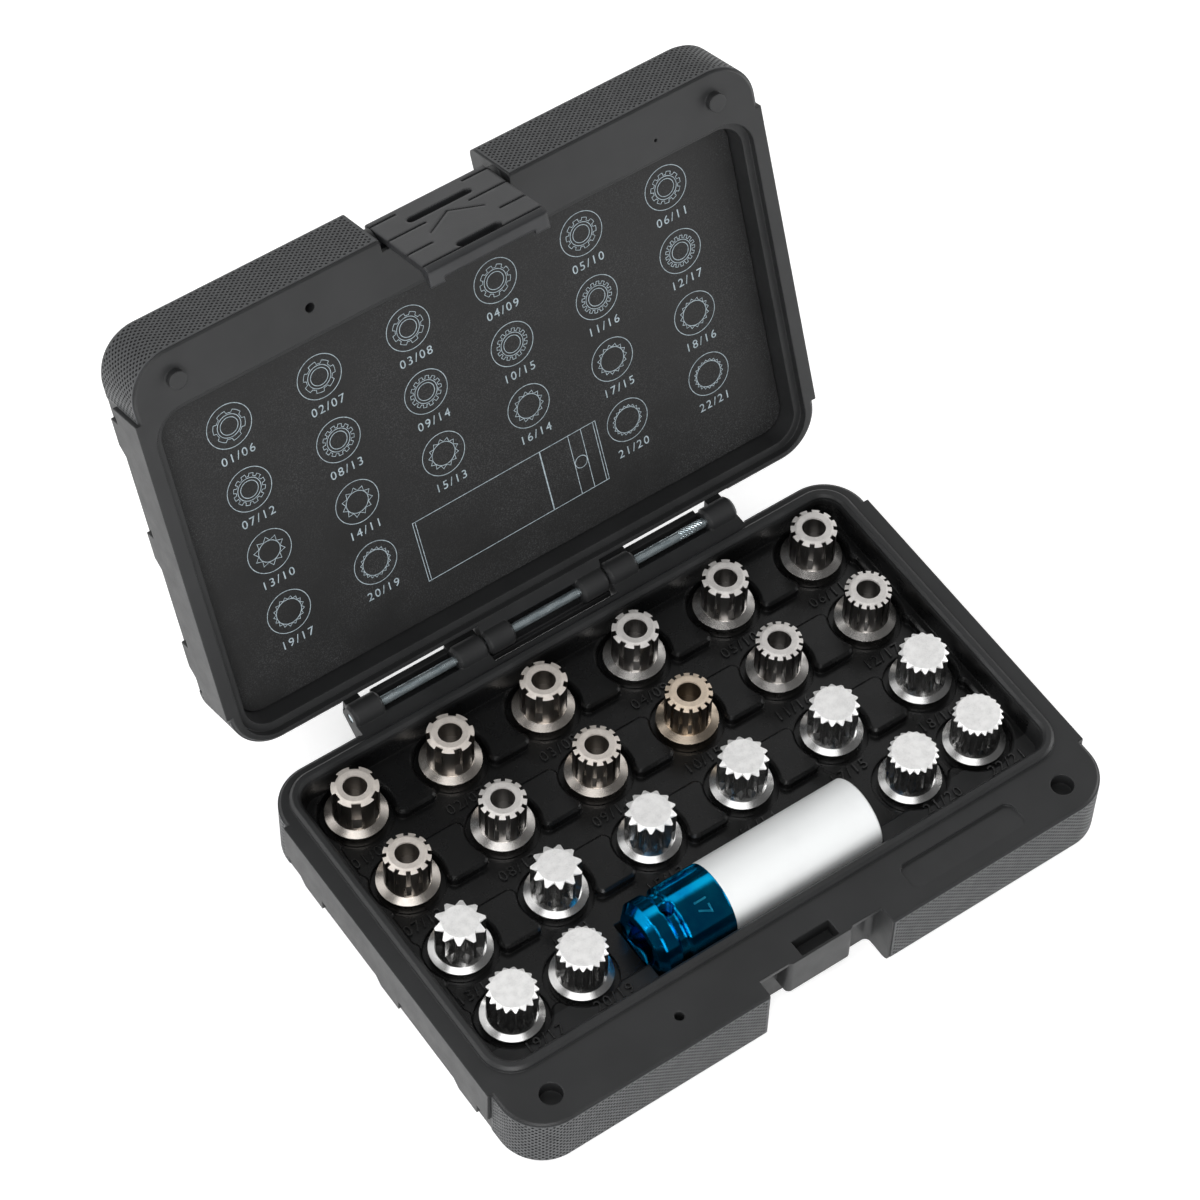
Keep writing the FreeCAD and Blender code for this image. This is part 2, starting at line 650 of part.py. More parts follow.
def lid_recess_plan():
    return inset(TONGUE, -TONGUE_CLEARANCE)


def lid_case():
    """Upper half: shell with grip bands, stepped recess, dowels, latch notch and hinge block."""
    top = LID_RIM + LID_HEIGHT
    shell = shell_block(LID_RIM, top, top)
    shell = shell.multiFuse(grip_bands(LID_RIM, 1))
    shell = shell.cut(notch_tool(LID_RIM + SHELF_THICKNESS, top + 1))
    shell = shell.cut(box(-NOTCH_HALF_WIDTH, NOTCH_HALF_WIDTH, FRONT - 1, FRONT + LID_SHELF_SET_BACK,
                          LID_RIM - 1, top + 1))
    dowels = [rod_z(DOWEL_DIAMETER / 2, x, y, LID_RIM - DOWEL_HEIGHT, LID_RIM + 1) for x, y in dowel_places()]
    boss = LATCH_WIDTH / 2 + LATCH_BOSS_GAP
    bosses = [rod_x(LATCH_BARREL / 2, x0, x0 + NOTCH_HALF_WIDTH + 1 - boss, PIVOT.y, PIVOT.z)
              for x0 in (boss, -NOTCH_HALF_WIDTH - 1)]
    shell = shell.multiFuse(dowels + bosses + [lid_hinge_block()])
    ledge = slab(lid_recess_plan(), LID_RIM - 1, RIM + LEDGE_DEPTH)
    inner = inset(lid_recess_plan(), LEDGE_WIDTH)
    well = leaning_slab_down(inner, LID_RIM - 1, CARD_LEVEL + CARD_THICKNESS, RECESS_LEAN)
    tools = [ledge, well]
    tools.append(rod_z(NEEDLE_HOLE / 2, NEEDLE_X, FRONT + DOWEL_SET_BACK, LID_RIM - 1, LID_RIM + NEEDLE_DEPTH))
    tools.append(rod_z(MARK_HOLE / 2, MARK_X, FRONT + MARK_SET_BACK, LID_RIM - 1, LID_RIM + MARK_DEPTH))
    reach = NOTCH_HALF_WIDTH + LATCH_PIN_SEAT
    tools.append(rod_x(LATCH_PIN / 2 + LATCH_PIN_FIT, -reach, reach, PIVOT.y, PIVOT.z))
    return opened(shell.cut(tools).removeSplitter())


def leaning_slab_down(plan, z0, z1, lean):
    """A slab that has the plan's size at z0 and is drawn in by lean up at z1."""
    return Part.makeLoft([outline(plan, z0), outline(inset(plan, lean), z1)], True, True)


def lid_card():
    """The printed card that lines the lid."""
    plan = inset(lid_recess_plan(), LEDGE_WIDTH + RECESS_LEAN + CARD_GAP)
    z0 = CARD_LEVEL - CARD_SEAT
    return opened(slab(plan, z0, z0 + CARD_THICKNESS))


# Latch


def latch_pin():
    reach = NOTCH_HALF_WIDTH + LATCH_PIN_SEAT - LATCH_PIN_FIT
    return opened(rod_x(LATCH_PIN / 2, -reach, reach, PIVOT.y, PIVOT.z))


def latch():
    """The latch: a barrel on its pin, a slotted and grooved plate with a curled foot, and a hook."""
    half = LATCH_WIDTH / 2
    face = FRONT + LATCH_INSET
    inside = face + LATCH_PLATE
    bottom = LATCH_FLOOR_GAP
    curl = bottom + LATCH_BEND
    curl_tip = FRONT + LATCH_INSET + LATCH_CURL
    brow = PIVOT.z + LATCH_BARREL / 2
    plate = prism_x(
        ((face, brow - LATCH_BROW), (face, curl), (face + LATCH_BEND / 2, bottom), (curl_tip, bottom),
         (curl_tip, curl), (inside, curl + LATCH_BEND / 2), (inside, PIVOT.z), (PIVOT.y, PIVOT.z),
         (PIVOT.y, brow), (face + LATCH_BROW, brow)),
        -half, half,
    )
    hook_top = CATCH_BASE - HOOK_GAP
    hook_tip = FRONT + CATCH_SET_BACK - CATCH_GAP
    hook_half = CATCH_HALF_WIDTH - CATCH_GAP
    pieces = [
        rod_x(LATCH_BARREL / 2, -half, half, PIVOT.y, PIVOT.z),
        box(-hook_half, hook_half, inside - LATCH_PLATE / 2, hook_tip, hook_top - LATCH_LIP, hook_top),
    ]
    foot_tip = FRONT + LATCH_FOOT_REACH
    foot = (
        (inside - LATCH_PLATE / 2, bottom), (foot_tip, bottom), (foot_tip, curl),
        (inside - LATCH_PLATE / 2, curl + LATCH_FOOT_HEIGHT),
    )
    for x0 in (-half, half - LATCH_FOOT_WIDTH):
        pieces.append(prism_x(foot, x0, x0 + LATCH_FOOT_WIDTH))
    tools = [rod_x(LATCH_PIN / 2 + LATCH_PIN_FIT, -half, half, PIVOT.y, PIVOT.z)]
    tools += obround(LATCH_UPPER_SLOT, PIVOT.z - LATCH_UPPER_SLOT_DROP, face, inside)
    tools += obround(LATCH_LOWER_SLOT, bottom + LATCH_LOWER_SLOT_RISE, face, inside)
    tools += latch_grooves(half, face, bottom) + [latch_arrow(face)]
    return opened(plate.multiFuse(pieces).cut(tools).removeSplitter())


def latch_grooves(half, face, bottom):
    """Finger grooves: short ones in from both sides, and the lowest right across at the bend."""
    top = PIVOT.z + LATCH_GROOVE_RISE
    pitch = (top - bottom - LATCH_GROOVE_RISE) / len(LATCH_GROOVE_LENGTHS)
    levels = [top - step * pitch for step in range(len(LATCH_GROOVE_LENGTHS))]
    spans = [(-half, half, bottom + LATCH_BEND + LATCH_GROOVE_RISE)]
    for level, length in zip(levels, LATCH_GROOVE_LENGTHS):
        spans += [(-half, length - half, level), (half - length, half, level)]
    return [box(x0, x1, face - 1, face + LATCH_GROOVE_DEPTH, level - LATCH_GROOVE / 2, level + LATCH_GROOVE / 2)
            for x0, x1, level in spans]


def latch_arrow(face):
    """The engraved arrow that points to the latch's pivot."""
    tip = PIVOT.z - LATCH_ARROW_DROP
    line = ((-LATCH_ARROW_HALF, tip - LATCH_ARROW_HEIGHT), (0, tip), (LATCH_ARROW_HALF, tip - LATCH_ARROW_HEIGHT))
    points = [Vec(x, face - 1, z) for x, z in line]
    points += [Vec(x, face - 1, z - LATCH_ARROW_LINE) for x, z in reversed(line)]
    return Part.Face(Part.makePolygon(points + points[:1])).extrude(Vec(0, 1 + LATCH_GROOVE_DEPTH, 0))


def obround(length, level, face, inside):
    """A round-ended slot across the latch plate, as the pieces to cut."""
    half = LATCH_SLOT_WIDTH / 2
    reach = length / 2 - half
    pieces = [box(-reach, reach, face - 1, inside, level - half, level + half)]
    for x in (-reach, reach):
        pieces.append(Part.makeCylinder(half, inside - face + 1, Vec(x, face - 1, level), Vec(0, 1, 0)))
    return pieces


def pieces():
    """Every piece of the set, by name."""
    made = {
        "base_case": base_case(),
        "lid_case": lid_case(),
        "lid_card": lid_card(),
        "hinge_pin": hinge_pin(),
        "latch": latch(),
        "latch_pin": latch_pin(),
        "socket_body": socket_body(),
        "socket_sleeve": socket_sleeve(),
    }
    for name, builder, teeth, x, y in key_places():
        key = builder(teeth)
        key.translate(Vec(x, y, KEY_BASE))
        made[name] = key
    return made


os.makedirs("parts", exist_ok=True)
for name, shape in pieces().items():
    shape.exportStep(f"parts/{name}.step")
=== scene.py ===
"""Looks of a set of locking wheel bolt keys in a hinged case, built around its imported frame.

Metres throughout. +X runs along the hinge, +Y from the latch to the hinge, +Z up. The lid stands open at rest, so
pieces of the lid are laid out as in the shut case and then turned open about the hinge.
"""
from __future__ import annotations

import logging
import math
from contextlib import contextmanager
from dataclasses import dataclass
from enum import Enum
from itertools import chain
from typing import ClassVar, Iterable, Iterator, Sequence

import bpy
from mathutils import Matrix, Vector


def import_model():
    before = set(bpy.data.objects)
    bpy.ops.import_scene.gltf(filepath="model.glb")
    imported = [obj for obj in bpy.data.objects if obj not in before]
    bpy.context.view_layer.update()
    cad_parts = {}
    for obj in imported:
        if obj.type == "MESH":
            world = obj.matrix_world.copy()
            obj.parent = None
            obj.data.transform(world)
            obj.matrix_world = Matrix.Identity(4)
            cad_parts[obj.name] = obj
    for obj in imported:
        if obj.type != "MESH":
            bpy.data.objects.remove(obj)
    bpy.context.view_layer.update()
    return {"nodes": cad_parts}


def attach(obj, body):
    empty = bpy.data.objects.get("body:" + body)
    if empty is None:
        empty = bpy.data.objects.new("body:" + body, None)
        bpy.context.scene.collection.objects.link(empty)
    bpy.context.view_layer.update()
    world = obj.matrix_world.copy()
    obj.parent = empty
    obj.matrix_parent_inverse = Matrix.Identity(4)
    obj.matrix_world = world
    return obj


LOG = logging.getLogger("key_set")
MM = 0.001

RIM = 25.0 * MM
CHANNEL_FLOOR = 13.5 * MM
PAD_TOP = 17.0 * MM
FLANGE_TOP = 17.4 * MM
KEY_TOP = 31.8 * MM
RING_LEAD = 0.8 * MM
SPLINE_LEAD = 1.1 * MM
COLUMN_PITCH = 36.0 * MM
ROW_PITCH = 29.9 * MM
BACK_ROW = 56.55 * MM
FRONT_PAIR_PITCH = 26.0 * MM
FRONT_ROW_PITCH = 28.7 * MM
BODY_HALF = (113.4 * MM, 75.55 * MM)
CORNER_RADIUS = 15.0 * MM
OPEN_ANGLE = math.radians(110.4)

Colour = tuple[float, float, float]
Point = tuple[float, float, float]
Socket = bpy.types.NodeSocket


class KeyKind(Enum):
    """The two kinds of key in the tray."""

    RING = "ring_key"
    SPLINE = "spline_key"


class Tint(Enum):
    """How far the nickel of a key has warmed."""

    STEEL = (1.0, 0.995, 0.985)
    NICKEL = (1.0, 0.965, 0.93)
    WARM = (1.0, 0.925, 0.85)
    BRONZE = (1.0, 0.84, 0.67)


@dataclass(frozen=True)
class KeyPlace:
    """One key: its kind, its count of teeth and where it stands in the tray."""

    kind: KeyKind
    number: int
    teeth: int
    x: float
    y: float
    tint: Tint = Tint.NICKEL

    @property
    def figures(self) -> str:
        """The key's number in the set and its count of teeth."""
        return f"{self.number:02d}/{self.teeth:02d}"

    @property
    def node(self) -> str:
        """The name of the key's node in the frame."""
        return f"{self.kind.value}_{self.teeth:02d}"

    @property
    def slot(self) -> str:
        """The name of the key's material slot."""
        return "ring_steel" if self.kind is KeyKind.RING else "spline_steel"


def key_places() -> list[list[KeyPlace]]:
    """Lays out the keys of the tray, row by row from the hinge.

    Returns:
        Four rows of keys, each from left to right.
    """
    columns = [(step - 2.5) * COLUMN_PITCH for step in range(6)]
    rows = [BACK_ROW - step * ROW_PITCH for step in range(3)]
    front = (columns[0], columns[0] + FRONT_PAIR_PITCH, columns[-1] - FRONT_PAIR_PITCH, columns[-1])
    tints = {6: Tint.WARM, 7: Tint.WARM, 8: Tint.WARM, 12: Tint.WARM, 14: Tint.WARM, 15: Tint.BRONZE}
    rings = [
        [KeyPlace(KeyKind.RING, first + step - 5, first + step, x, y, tints.get(first + step, Tint.NICKEL))
         for step, x in enumerate(columns)]
        for first, y in zip((6, 12), rows)
    ]
    splines = [KeyPlace(KeyKind.SPLINE, 13 + step, teeth, columns[step], rows[2], Tint.STEEL)
               for step, teeth in enumerate((10, 11, 13, 14, 15, 16))]
    last = [KeyPlace(KeyKind.SPLINE, 19 + step, teeth, front[step], rows[2] - FRONT_ROW_PITCH, Tint.STEEL)
            for step, teeth in enumerate((17, 19, 20, 21))]
    return rings + [splines, last]


# Modelling by operators


def deselect() -> None:
    """Leaves edit mode and selects nothing."""
    if bpy.context.object is not None and bpy.context.object.mode != "OBJECT":
        bpy.ops.object.mode_set(mode="OBJECT")
    bpy.ops.object.select_all(action="DESELECT")


def pick(piece: bpy.types.Object) -> None:
    """Selects one object alone and makes it active.

    Args:
        piece: The object.
    """
    deselect()
    piece.select_set(True)
    bpy.context.view_layer.objects.active = piece


def add_mesh(kind: str, **settings: object) -> bpy.types.Object:
    """Adds a primitive mesh and selects it alone.

    Args:
        kind: The primitive's name in its operator.
        settings: The operator's values by name.

    Returns:
        The new object.
    """
    deselect()
    getattr(bpy.ops.mesh, f"primitive_{kind}_add")(**settings)
    return bpy.context.object


@contextmanager
def editing(piece: bpy.types.Object, mode: str = "VERT") -> Iterator[bpy.types.Object]:
    """Edits one mesh: edit mode with everything selected, and object mode again at the end.

    Args:
        piece: The mesh object.
        mode: The select mode, VERT, EDGE or FACE.

    Returns:
        The same object.
    """
    pick(piece)
    bpy.ops.object.mode_set(mode="EDIT")
    bpy.ops.mesh.select_mode(type=mode)
    bpy.ops.mesh.select_all(action="SELECT")
    yield piece
    bpy.ops.object.mode_set(mode="OBJECT")


def select_vertices(piece: bpy.types.Object, wanted: Iterable[int]) -> None:
    """Selects some vertices of the mesh in edit mode, by number.

    Args:
        piece: The mesh object, in edit mode.
        wanted: The numbers of the vertices.
    """
    chosen = set(wanted)
    bpy.ops.mesh.select_all(action="DESELECT")
    bpy.ops.object.mode_set(mode="OBJECT")
    for vertex in piece.data.vertices:
        vertex.select = vertex.index in chosen
    bpy.ops.object.mode_set(mode="EDIT")


def draw_in(piece: bpy.types.Object, wanted: Iterable[int], share: float) -> None:
    """Draws some vertices of the mesh in edit mode towards its axis, to a share of their distance."""
    select_vertices(piece, wanted)
    bpy.ops.transform.resize(value=(share, share, 1.0), center_override=(0, 0, 0))


def extrude(step: Point, count: int = 1) -> None:
    """Extrudes what is selected in edit mode by a step, as many times as asked."""
    for _ in range(count):
        bpy.ops.mesh.extrude_region_move(TRANSFORM_OT_translate={"value": step})


def place(piece: bpy.types.Object, matrix: Matrix) -> bpy.types.Object:
    """Turns and moves a piece and puts its place into its mesh.

    Args:
        piece: The mesh object, at the origin.
        matrix: Where it goes.

    Returns:
        The same object, at the origin with its place in its mesh.
    """
    pick(piece)
    piece.matrix_world = matrix
    bpy.ops.object.transform_apply(location=True, rotation=True, scale=True)
    return piece


def apply_modifier(piece: bpy.types.Object, kind: str, **settings: object) -> None:
    """Adds a modifier with the settings given and applies it.

    Args:
        piece: The mesh object.
        kind: The modifier's type.
        settings: Its values by name.
    """
    pick(piece)
    modifier = piece.modifiers.new(kind.lower(), kind)
    for name, value in settings.items():
        setattr(modifier, name, value)
    bpy.ops.object.modifier_apply(modifier=modifier.name)


def join(pieces: Sequence[bpy.types.Object], name: str) -> bpy.types.Object:
    """Joins meshes into one object.

    Args:
        pieces: The objects, the first of which is kept.
        name: The new name.

    Returns:
        The joined object.
    """
    pick(pieces[0])
    for piece in pieces:
        piece.select_set(True)
    bpy.ops.object.join()
    joined = bpy.context.object
    joined.name = name
    joined.data.name = name
    return joined


def round_plate(radius: float, points: int) -> bpy.types.Object:
    """Adds a flat plate at the origin, facing up, with its corners at the radius given."""
    return add_mesh("circle", vertices=points, radius=radius, fill_type="NGON")


def unit_cube() -> bpy.types.Object:
    """Adds a cube with sides of one at the origin."""
    return add_mesh("cube", size=1.0)


def outline_of(piece: bpy.types.Object, width: float) -> bpy.types.Object:
    """Keeps only a plate's edge, as a line of the width given.

    Args:
        piece: A plate of one face.
        width: The line's width.

    Returns:
        The same object.
    """
    with editing(piece, "FACE"):
        bpy.ops.mesh.inset(thickness=width, use_even_offset=True)
        bpy.ops.mesh.delete(type="FACE")
    return piece


def printed_text(words: str, size: float, spacing: float = 1.0) -> bpy.types.Object:
    """Makes flat figures, centred on the origin and facing up.

    Args:
        words: Plain figures.
        size: The type's height.
        spacing: How far apart the figures stand, as a share of the usual.

    Returns:
        A mesh object.
    """
    deselect()
    bpy.ops.object.text_add()
    text = bpy.context.object
    text.data.body = words
    text.data.size = size
    text.data.space_character = spacing
    text.data.align_x = "CENTER"
    text.data.align_y = "CENTER"
    text.data.resolution_u = 4
    bpy.ops.object.convert(target="MESH")
    return bpy.context.object


def finish_piece(piece: bpy.types.Object, body: str, material: bpy.types.Material) -> None:
    """Dresses a new piece and makes it ride on its body.

    Args:
        piece: The mesh object, in place.
        body: The body that carries it.
        material: Its finish.
    """
    piece.data.materials.clear()
    piece.data.materials.append(material)
    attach(piece, body)
    LOG.info("%s rides on %s, %d faces", piece.name, body, len(piece.data.polygons))


def lid_turn() -> Matrix:
    """How a point of the shut lid moves to where the lid stands open."""
    hinge = Vector(Hinge.axis)
    return Matrix.Translation(hinge) @ Matrix.Rotation(-OPEN_ANGLE, 4, "X") @ Matrix.Translation(-hinge)


# Finishes


class Graph:
    """A small helper that writes one material's nodes."""

    mix_colours: ClassVar[tuple[int, int]] = (6, 7)
    mix_numbers: ClassVar[tuple[int, int]] = (2, 3)
    mixed_colour: ClassVar[int] = 2

    def __init__(self, name: str) -> None:
        """Starts a material with a Principled shader.

        Args:
            name: The material's name.
        """
        self.material = bpy.data.materials.new(name)
        self.material.use_nodes = True
        self.tree = self.material.node_tree
        self.shader = self.tree.nodes["Principled BSDF"]

    @classmethod
    def of_tree(cls, tree: bpy.types.NodeTree) -> Graph:
        """A helper on a tree that is there already, such as the world's.

        Args:
            tree: The tree.

        Returns:
            The helper.
        """
        graph = cls.__new__(cls)
        graph.tree = tree
        return graph

    def node(self, kind: str, **settings: object) -> bpy.types.Node:
        """Adds a node and sets its values.

        Args:
            kind: The node's type, without its prefix.
            settings: Its values by name.

        Returns:
            The node.
        """
        made = self.tree.nodes.new("ShaderNode" + kind)
        for name, value in settings.items():
            setattr(made, name, value)
        return made

    def feed(self, target: Socket, value: Socket | float | Sequence[float]) -> None:
        """Links a socket to an input, or sets the input's own value.

        Args:
            target: The input.
            value: A socket or a constant.
        """
        if isinstance(value, bpy.types.NodeSocket):
            self.tree.links.new(value, target)
        else:
            target.default_value = value

    def place(self) -> Socket:
        """The piece's own coordinates."""
        return self.node("TexCoord").outputs["Object"]

    def axes(self, vector: Socket) -> Sequence[Socket]:
        """Splits coordinates into X, Y and Z.

        Args:
            vector: The coordinates.

        Returns:
            Three sockets.
        """
        parts = self.node("SeparateXYZ")
        self.feed(parts.inputs[0], vector)
        return parts.outputs

    def scaled(self, vector: Socket, scale: Point) -> Socket:
        """Stretches coordinates by a scale along each axis.

        Args:
            vector: The coordinates.
            scale: How many times finer the pattern gets.

        Returns:
            The stretched coordinates.
        """
        mapping = self.node("Mapping")
        mapping.inputs["Scale"].default_value = scale
        self.feed(mapping.inputs["Vector"], vector)
        return mapping.outputs["Vector"]

    def noise(self, vector: Socket, scale: float, detail: float = 2.0) -> Socket:
        """A noise of the scale given, in cells per metre.

        Args:
            vector: The coordinates.
            scale: How fine it is.
            detail: How many finer layers it has.

        Returns:
            The noise, about 0.5.
        """
        noise = self.node("TexNoise")
        self.feed(noise.inputs["Vector"], vector)
        noise.inputs["Scale"].default_value = scale
        noise.inputs["Detail"].default_value = detail
        return noise.outputs["Fac"]

    def math(self, operation: str, *values: Socket | float) -> Socket:
        """One sum on sockets or numbers.

        Args:
            operation: The node's operation.
            values: What it works on.

        Returns:
            The result.
        """
        node = self.node("Math", operation=operation)
        for target, value in zip(node.inputs, values):
            self.feed(target, value)
        return node.outputs[0]

    def span(self, value: Socket, low: float, high: float, to_low: float = 0.0, to_high: float = 1.0) -> Socket:
        """Maps a value from one range to another, held within it.

        Args:
            value: The value.
            low: The start of its range.
            high: The end of its range.
            to_low: What the start becomes.
            to_high: What the end becomes.

        Returns:
            The mapped value.
        """
        node = self.node("MapRange", clamp=True)
        self.feed(node.inputs["Value"], value)
        for name, number in (("From Min", low), ("From Max", high), ("To Min", to_low), ("To Max", to_high)):
            node.inputs[name].default_value = number
        return node.outputs["Result"]

    def mix(self, share: Socket, first: Socket | Colour, second: Socket | Colour) -> Socket:
        """Mixes two colours.

        Args:
            share: How much of the second.
            first: The colour at 0.
            second: The colour at 1.

        Returns:
            A colour socket.
        """
        node = self.node("Mix", data_type="RGBA")
        self.feed(node.inputs[0], share)
        for index, value in zip(self.mix_colours, (first, second)):
            self.feed(node.inputs[index], value if isinstance(value, bpy.types.NodeSocket) else (*value, 1.0))
        return node.outputs[self.mixed_colour]

    def blend(self, share: Socket, first: Socket | float, second: Socket | float) -> Socket:
        """Blends two numbers, by how much of the second.

        Args:
            share: How much of the second.
            first: The number at 0.
            second: The number at 1.

        Returns:
            The blended number.
        """
        node = self.node("Mix", data_type="FLOAT")
        for index, value in zip((0, *self.mix_numbers), (share, first, second)):
            self.feed(node.inputs[index], value)
        return node.outputs[0]

    def openness_for_shade(self, reach: float) -> Socket:
        """How open the surface is, from 0 in a groove to 1 in the clear, read from ambient occlusion and used to paint
        shade into hollows.

        Args:
            reach: How far off a surface still counts.

        Returns:
            The openness.
        """
        node = self.node("AmbientOcclusion", samples=8)
        node.inputs["Distance"].default_value = reach
        return node.outputs["AO"]

    def relief(self, height: Socket, depth: float, soft_edge: float) -> None:
        """Gives the shader a bump over softened edges.

        Args:
            height: The relief, from 0 to 1.
            depth: How deep it is.
            soft_edge: The radius to which sharp edges are eased.
        """
        bevel = self.node("Bevel", samples=4)
        bevel.inputs["Radius"].default_value = soft_edge
        bump = self.node("Bump")
        bump.inputs["Strength"].default_value = 1.0
        bump.inputs["Distance"].default_value = depth
        self.feed(bump.inputs["Height"], height)
        self.feed(bump.inputs["Normal"], bevel.outputs["Normal"])
        self.feed(self.shader.inputs["Normal"], bump.outputs["Normal"])

    def set(self, **values: Socket | float | Sequence[float]) -> bpy.types.Material:
        """Sets the shader's inputs, with underscores for spaces.

        Args:
            values: Each input's socket or constant, by name.

        Returns:
            The finished material.
        """
        for name, value in values.items():
            self.feed(self.shader.inputs[name.replace("_", " ")], value)
        return self.material


@dataclass(frozen=True)
class CasePlastic:
    """Black moulded plastic with a fine grain, dull outside and glossier in the tray, where its colour is also darkened
    as painted shade.
    """

    name: str = "case_plastic"
    dark: Colour = (0.0175, 0.018, 0.0186)
    light: Colour = (0.0215, 0.022, 0.0227)
    rough: tuple[float, float] = (0.42, 0.50)
    specular: float = 0.45
    grain: float = 2600.0
    soft_edge: float = 0.7 * MM
    glossy_tray_painted_shade: bool = False
    tray_half: float = 107.0 * MM
    tray_y: tuple[float, float] = (-40.0 * MM, 70.5 * MM)
    tray_fade: tuple[float, float] = (RIM - 2.0 * MM, RIM + 1.0 * MM)
    # painted shade: the share of the dark colour left inside the tray
    tray_painted_shade: float = 0.3
    tray_gloss: float = 0.18
    tray_specular: float = 0.42

    def tray(self, graph: Graph, vector: Socket) -> Socket:
        """Where the tray is: 1 inside its walls and below the rim, 0 elsewhere.

        Args:
            graph: The material's nodes.
            vector: The piece's coordinates.

        Returns:
            The mask.
        """
        across, along, up = graph.axes(vector)
        inside = [
            graph.math("LESS_THAN", graph.math("ABSOLUTE", across), self.tray_half),
            graph.math("GREATER_THAN", along, self.tray_y[0]),
            graph.math("LESS_THAN", along, self.tray_y[1]),
            graph.span(up, *self.tray_fade, 1.0, 0.0),
        ]
        share = inside[0]
        for other in inside[1:]:
            share = graph.math("MULTIPLY", share, other)
        return share

    def build(self) -> bpy.types.Material:
        """Writes the material.

        Returns:
            The finished material.
        """
        graph = Graph(self.name)
        vector = graph.place()
        grain = graph.noise(vector, self.grain, 3.0)
        patches = graph.noise(vector, 55.0, 4.0)
        colour = graph.mix(graph.span(patches, 0.35, 0.65), self.dark, self.light)
        rough = graph.span(graph.noise(vector, 160.0, 3.0), 0.3, 0.7, *self.rough)
        graph.relief(grain, 0.03 * MM, self.soft_edge)
        specular = self.specular
        if self.glossy_tray_painted_shade:
            tray = self.tray(graph, vector)
            # painted shade: inside the tray, fading out just below the rim, the colour drops to a share of the dark
            # plastic
            colour = graph.mix(tray, colour, tuple(self.tray_painted_shade * part for part in self.dark))
            rough = graph.math("SUBTRACT", rough, graph.math("MULTIPLY", tray, self.tray_gloss))
            specular = graph.span(tray, 0.0, 1.0, self.specular, self.tray_specular)
        return graph.set(Base_Color=colour, Roughness=rough, IOR=1.46, Specular_IOR_Level=specular)


@dataclass(frozen=True)
class KnurledPlastic:
    """The case's plastic where it is knurled: dull grey between the pits, and painted dark in them as shade."""

    land: Colour = (0.046, 0.048, 0.05)
    # painted shade: the colour of the pits' floors
    pit: Colour = (0.004, 0.0041, 0.0042)

    def build(self) -> bpy.types.Material:
        """Writes the material.

        Returns:
            The finished material.
        """
        graph = Graph("knurled_plastic")
        vector = graph.place()
        # painted shade: the pits' floors, marked on the mesh, take the near-black colour
        pits = graph.node("Attribute", attribute_name="pit").outputs["Fac"]
        worn = graph.noise(vector, 300.0, 3.0)
        share = graph.math("ADD", graph.span(pits, 0.1, 0.7), graph.span(worn, 0.4, 0.7, -0.06, 0.06))
        graph.relief(graph.noise(vector, 2600.0, 2.0), 0.03 * MM, 0.15 * MM)
        return graph.set(Base_Color=graph.mix(share, self.land, self.pit), IOR=1.46,
                         Roughness=graph.span(worn, 0.3, 0.7, 0.42, 0.56))


@dataclass(frozen=True)
class SpeckledCard:
    """The dark card that lines the lid, with a fine pale speckle."""

    ground: Colour = (0.011, 0.0111, 0.0113)
    fleck: Colour = (0.06, 0.061, 0.063)

    def build(self) -> bpy.types.Material:
        """Writes the material.

        Returns:
            The finished material.
        """
        graph = Graph("printed_card")
        vector = graph.place()
        flecks = graph.span(graph.noise(vector, 2300.0, 2.0), 0.48, 0.75)
        patches = graph.span(graph.noise(vector, 40.0, 4.0), 0.3, 0.75)
        colour = graph.mix(graph.math("MULTIPLY", flecks, patches), self.ground, self.fleck)
        graph.relief(graph.noise(vector, 2200.0, 2.0), 0.05 * MM, 0.2 * MM)
        return graph.set(Base_Color=colour, Roughness=graph.span(patches, 0.0, 1.0, 0.5, 0.62), Specular_IOR_Level=0.32)


@dataclass(frozen=True)
class PrintInk:
    """Pale blue-grey ink, slightly worn."""

    full: Colour = (0.36, 0.43, 0.47)
    worn: Colour = (0.20, 0.245, 0.27)

    def build(self) -> bpy.types.Material:
        """Writes the material.

        Returns:
            The finished material.
        """
        graph = Graph("print_ink")
        wear = graph.span(graph.noise(graph.place(), 900.0, 3.0), 0.42, 0.7)
        colour = graph.mix(wear, self.full, self.worn)
        return graph.set(Base_Color=colour, Roughness=graph.span(wear, 0.0, 1.0, 0.5, 0.65))


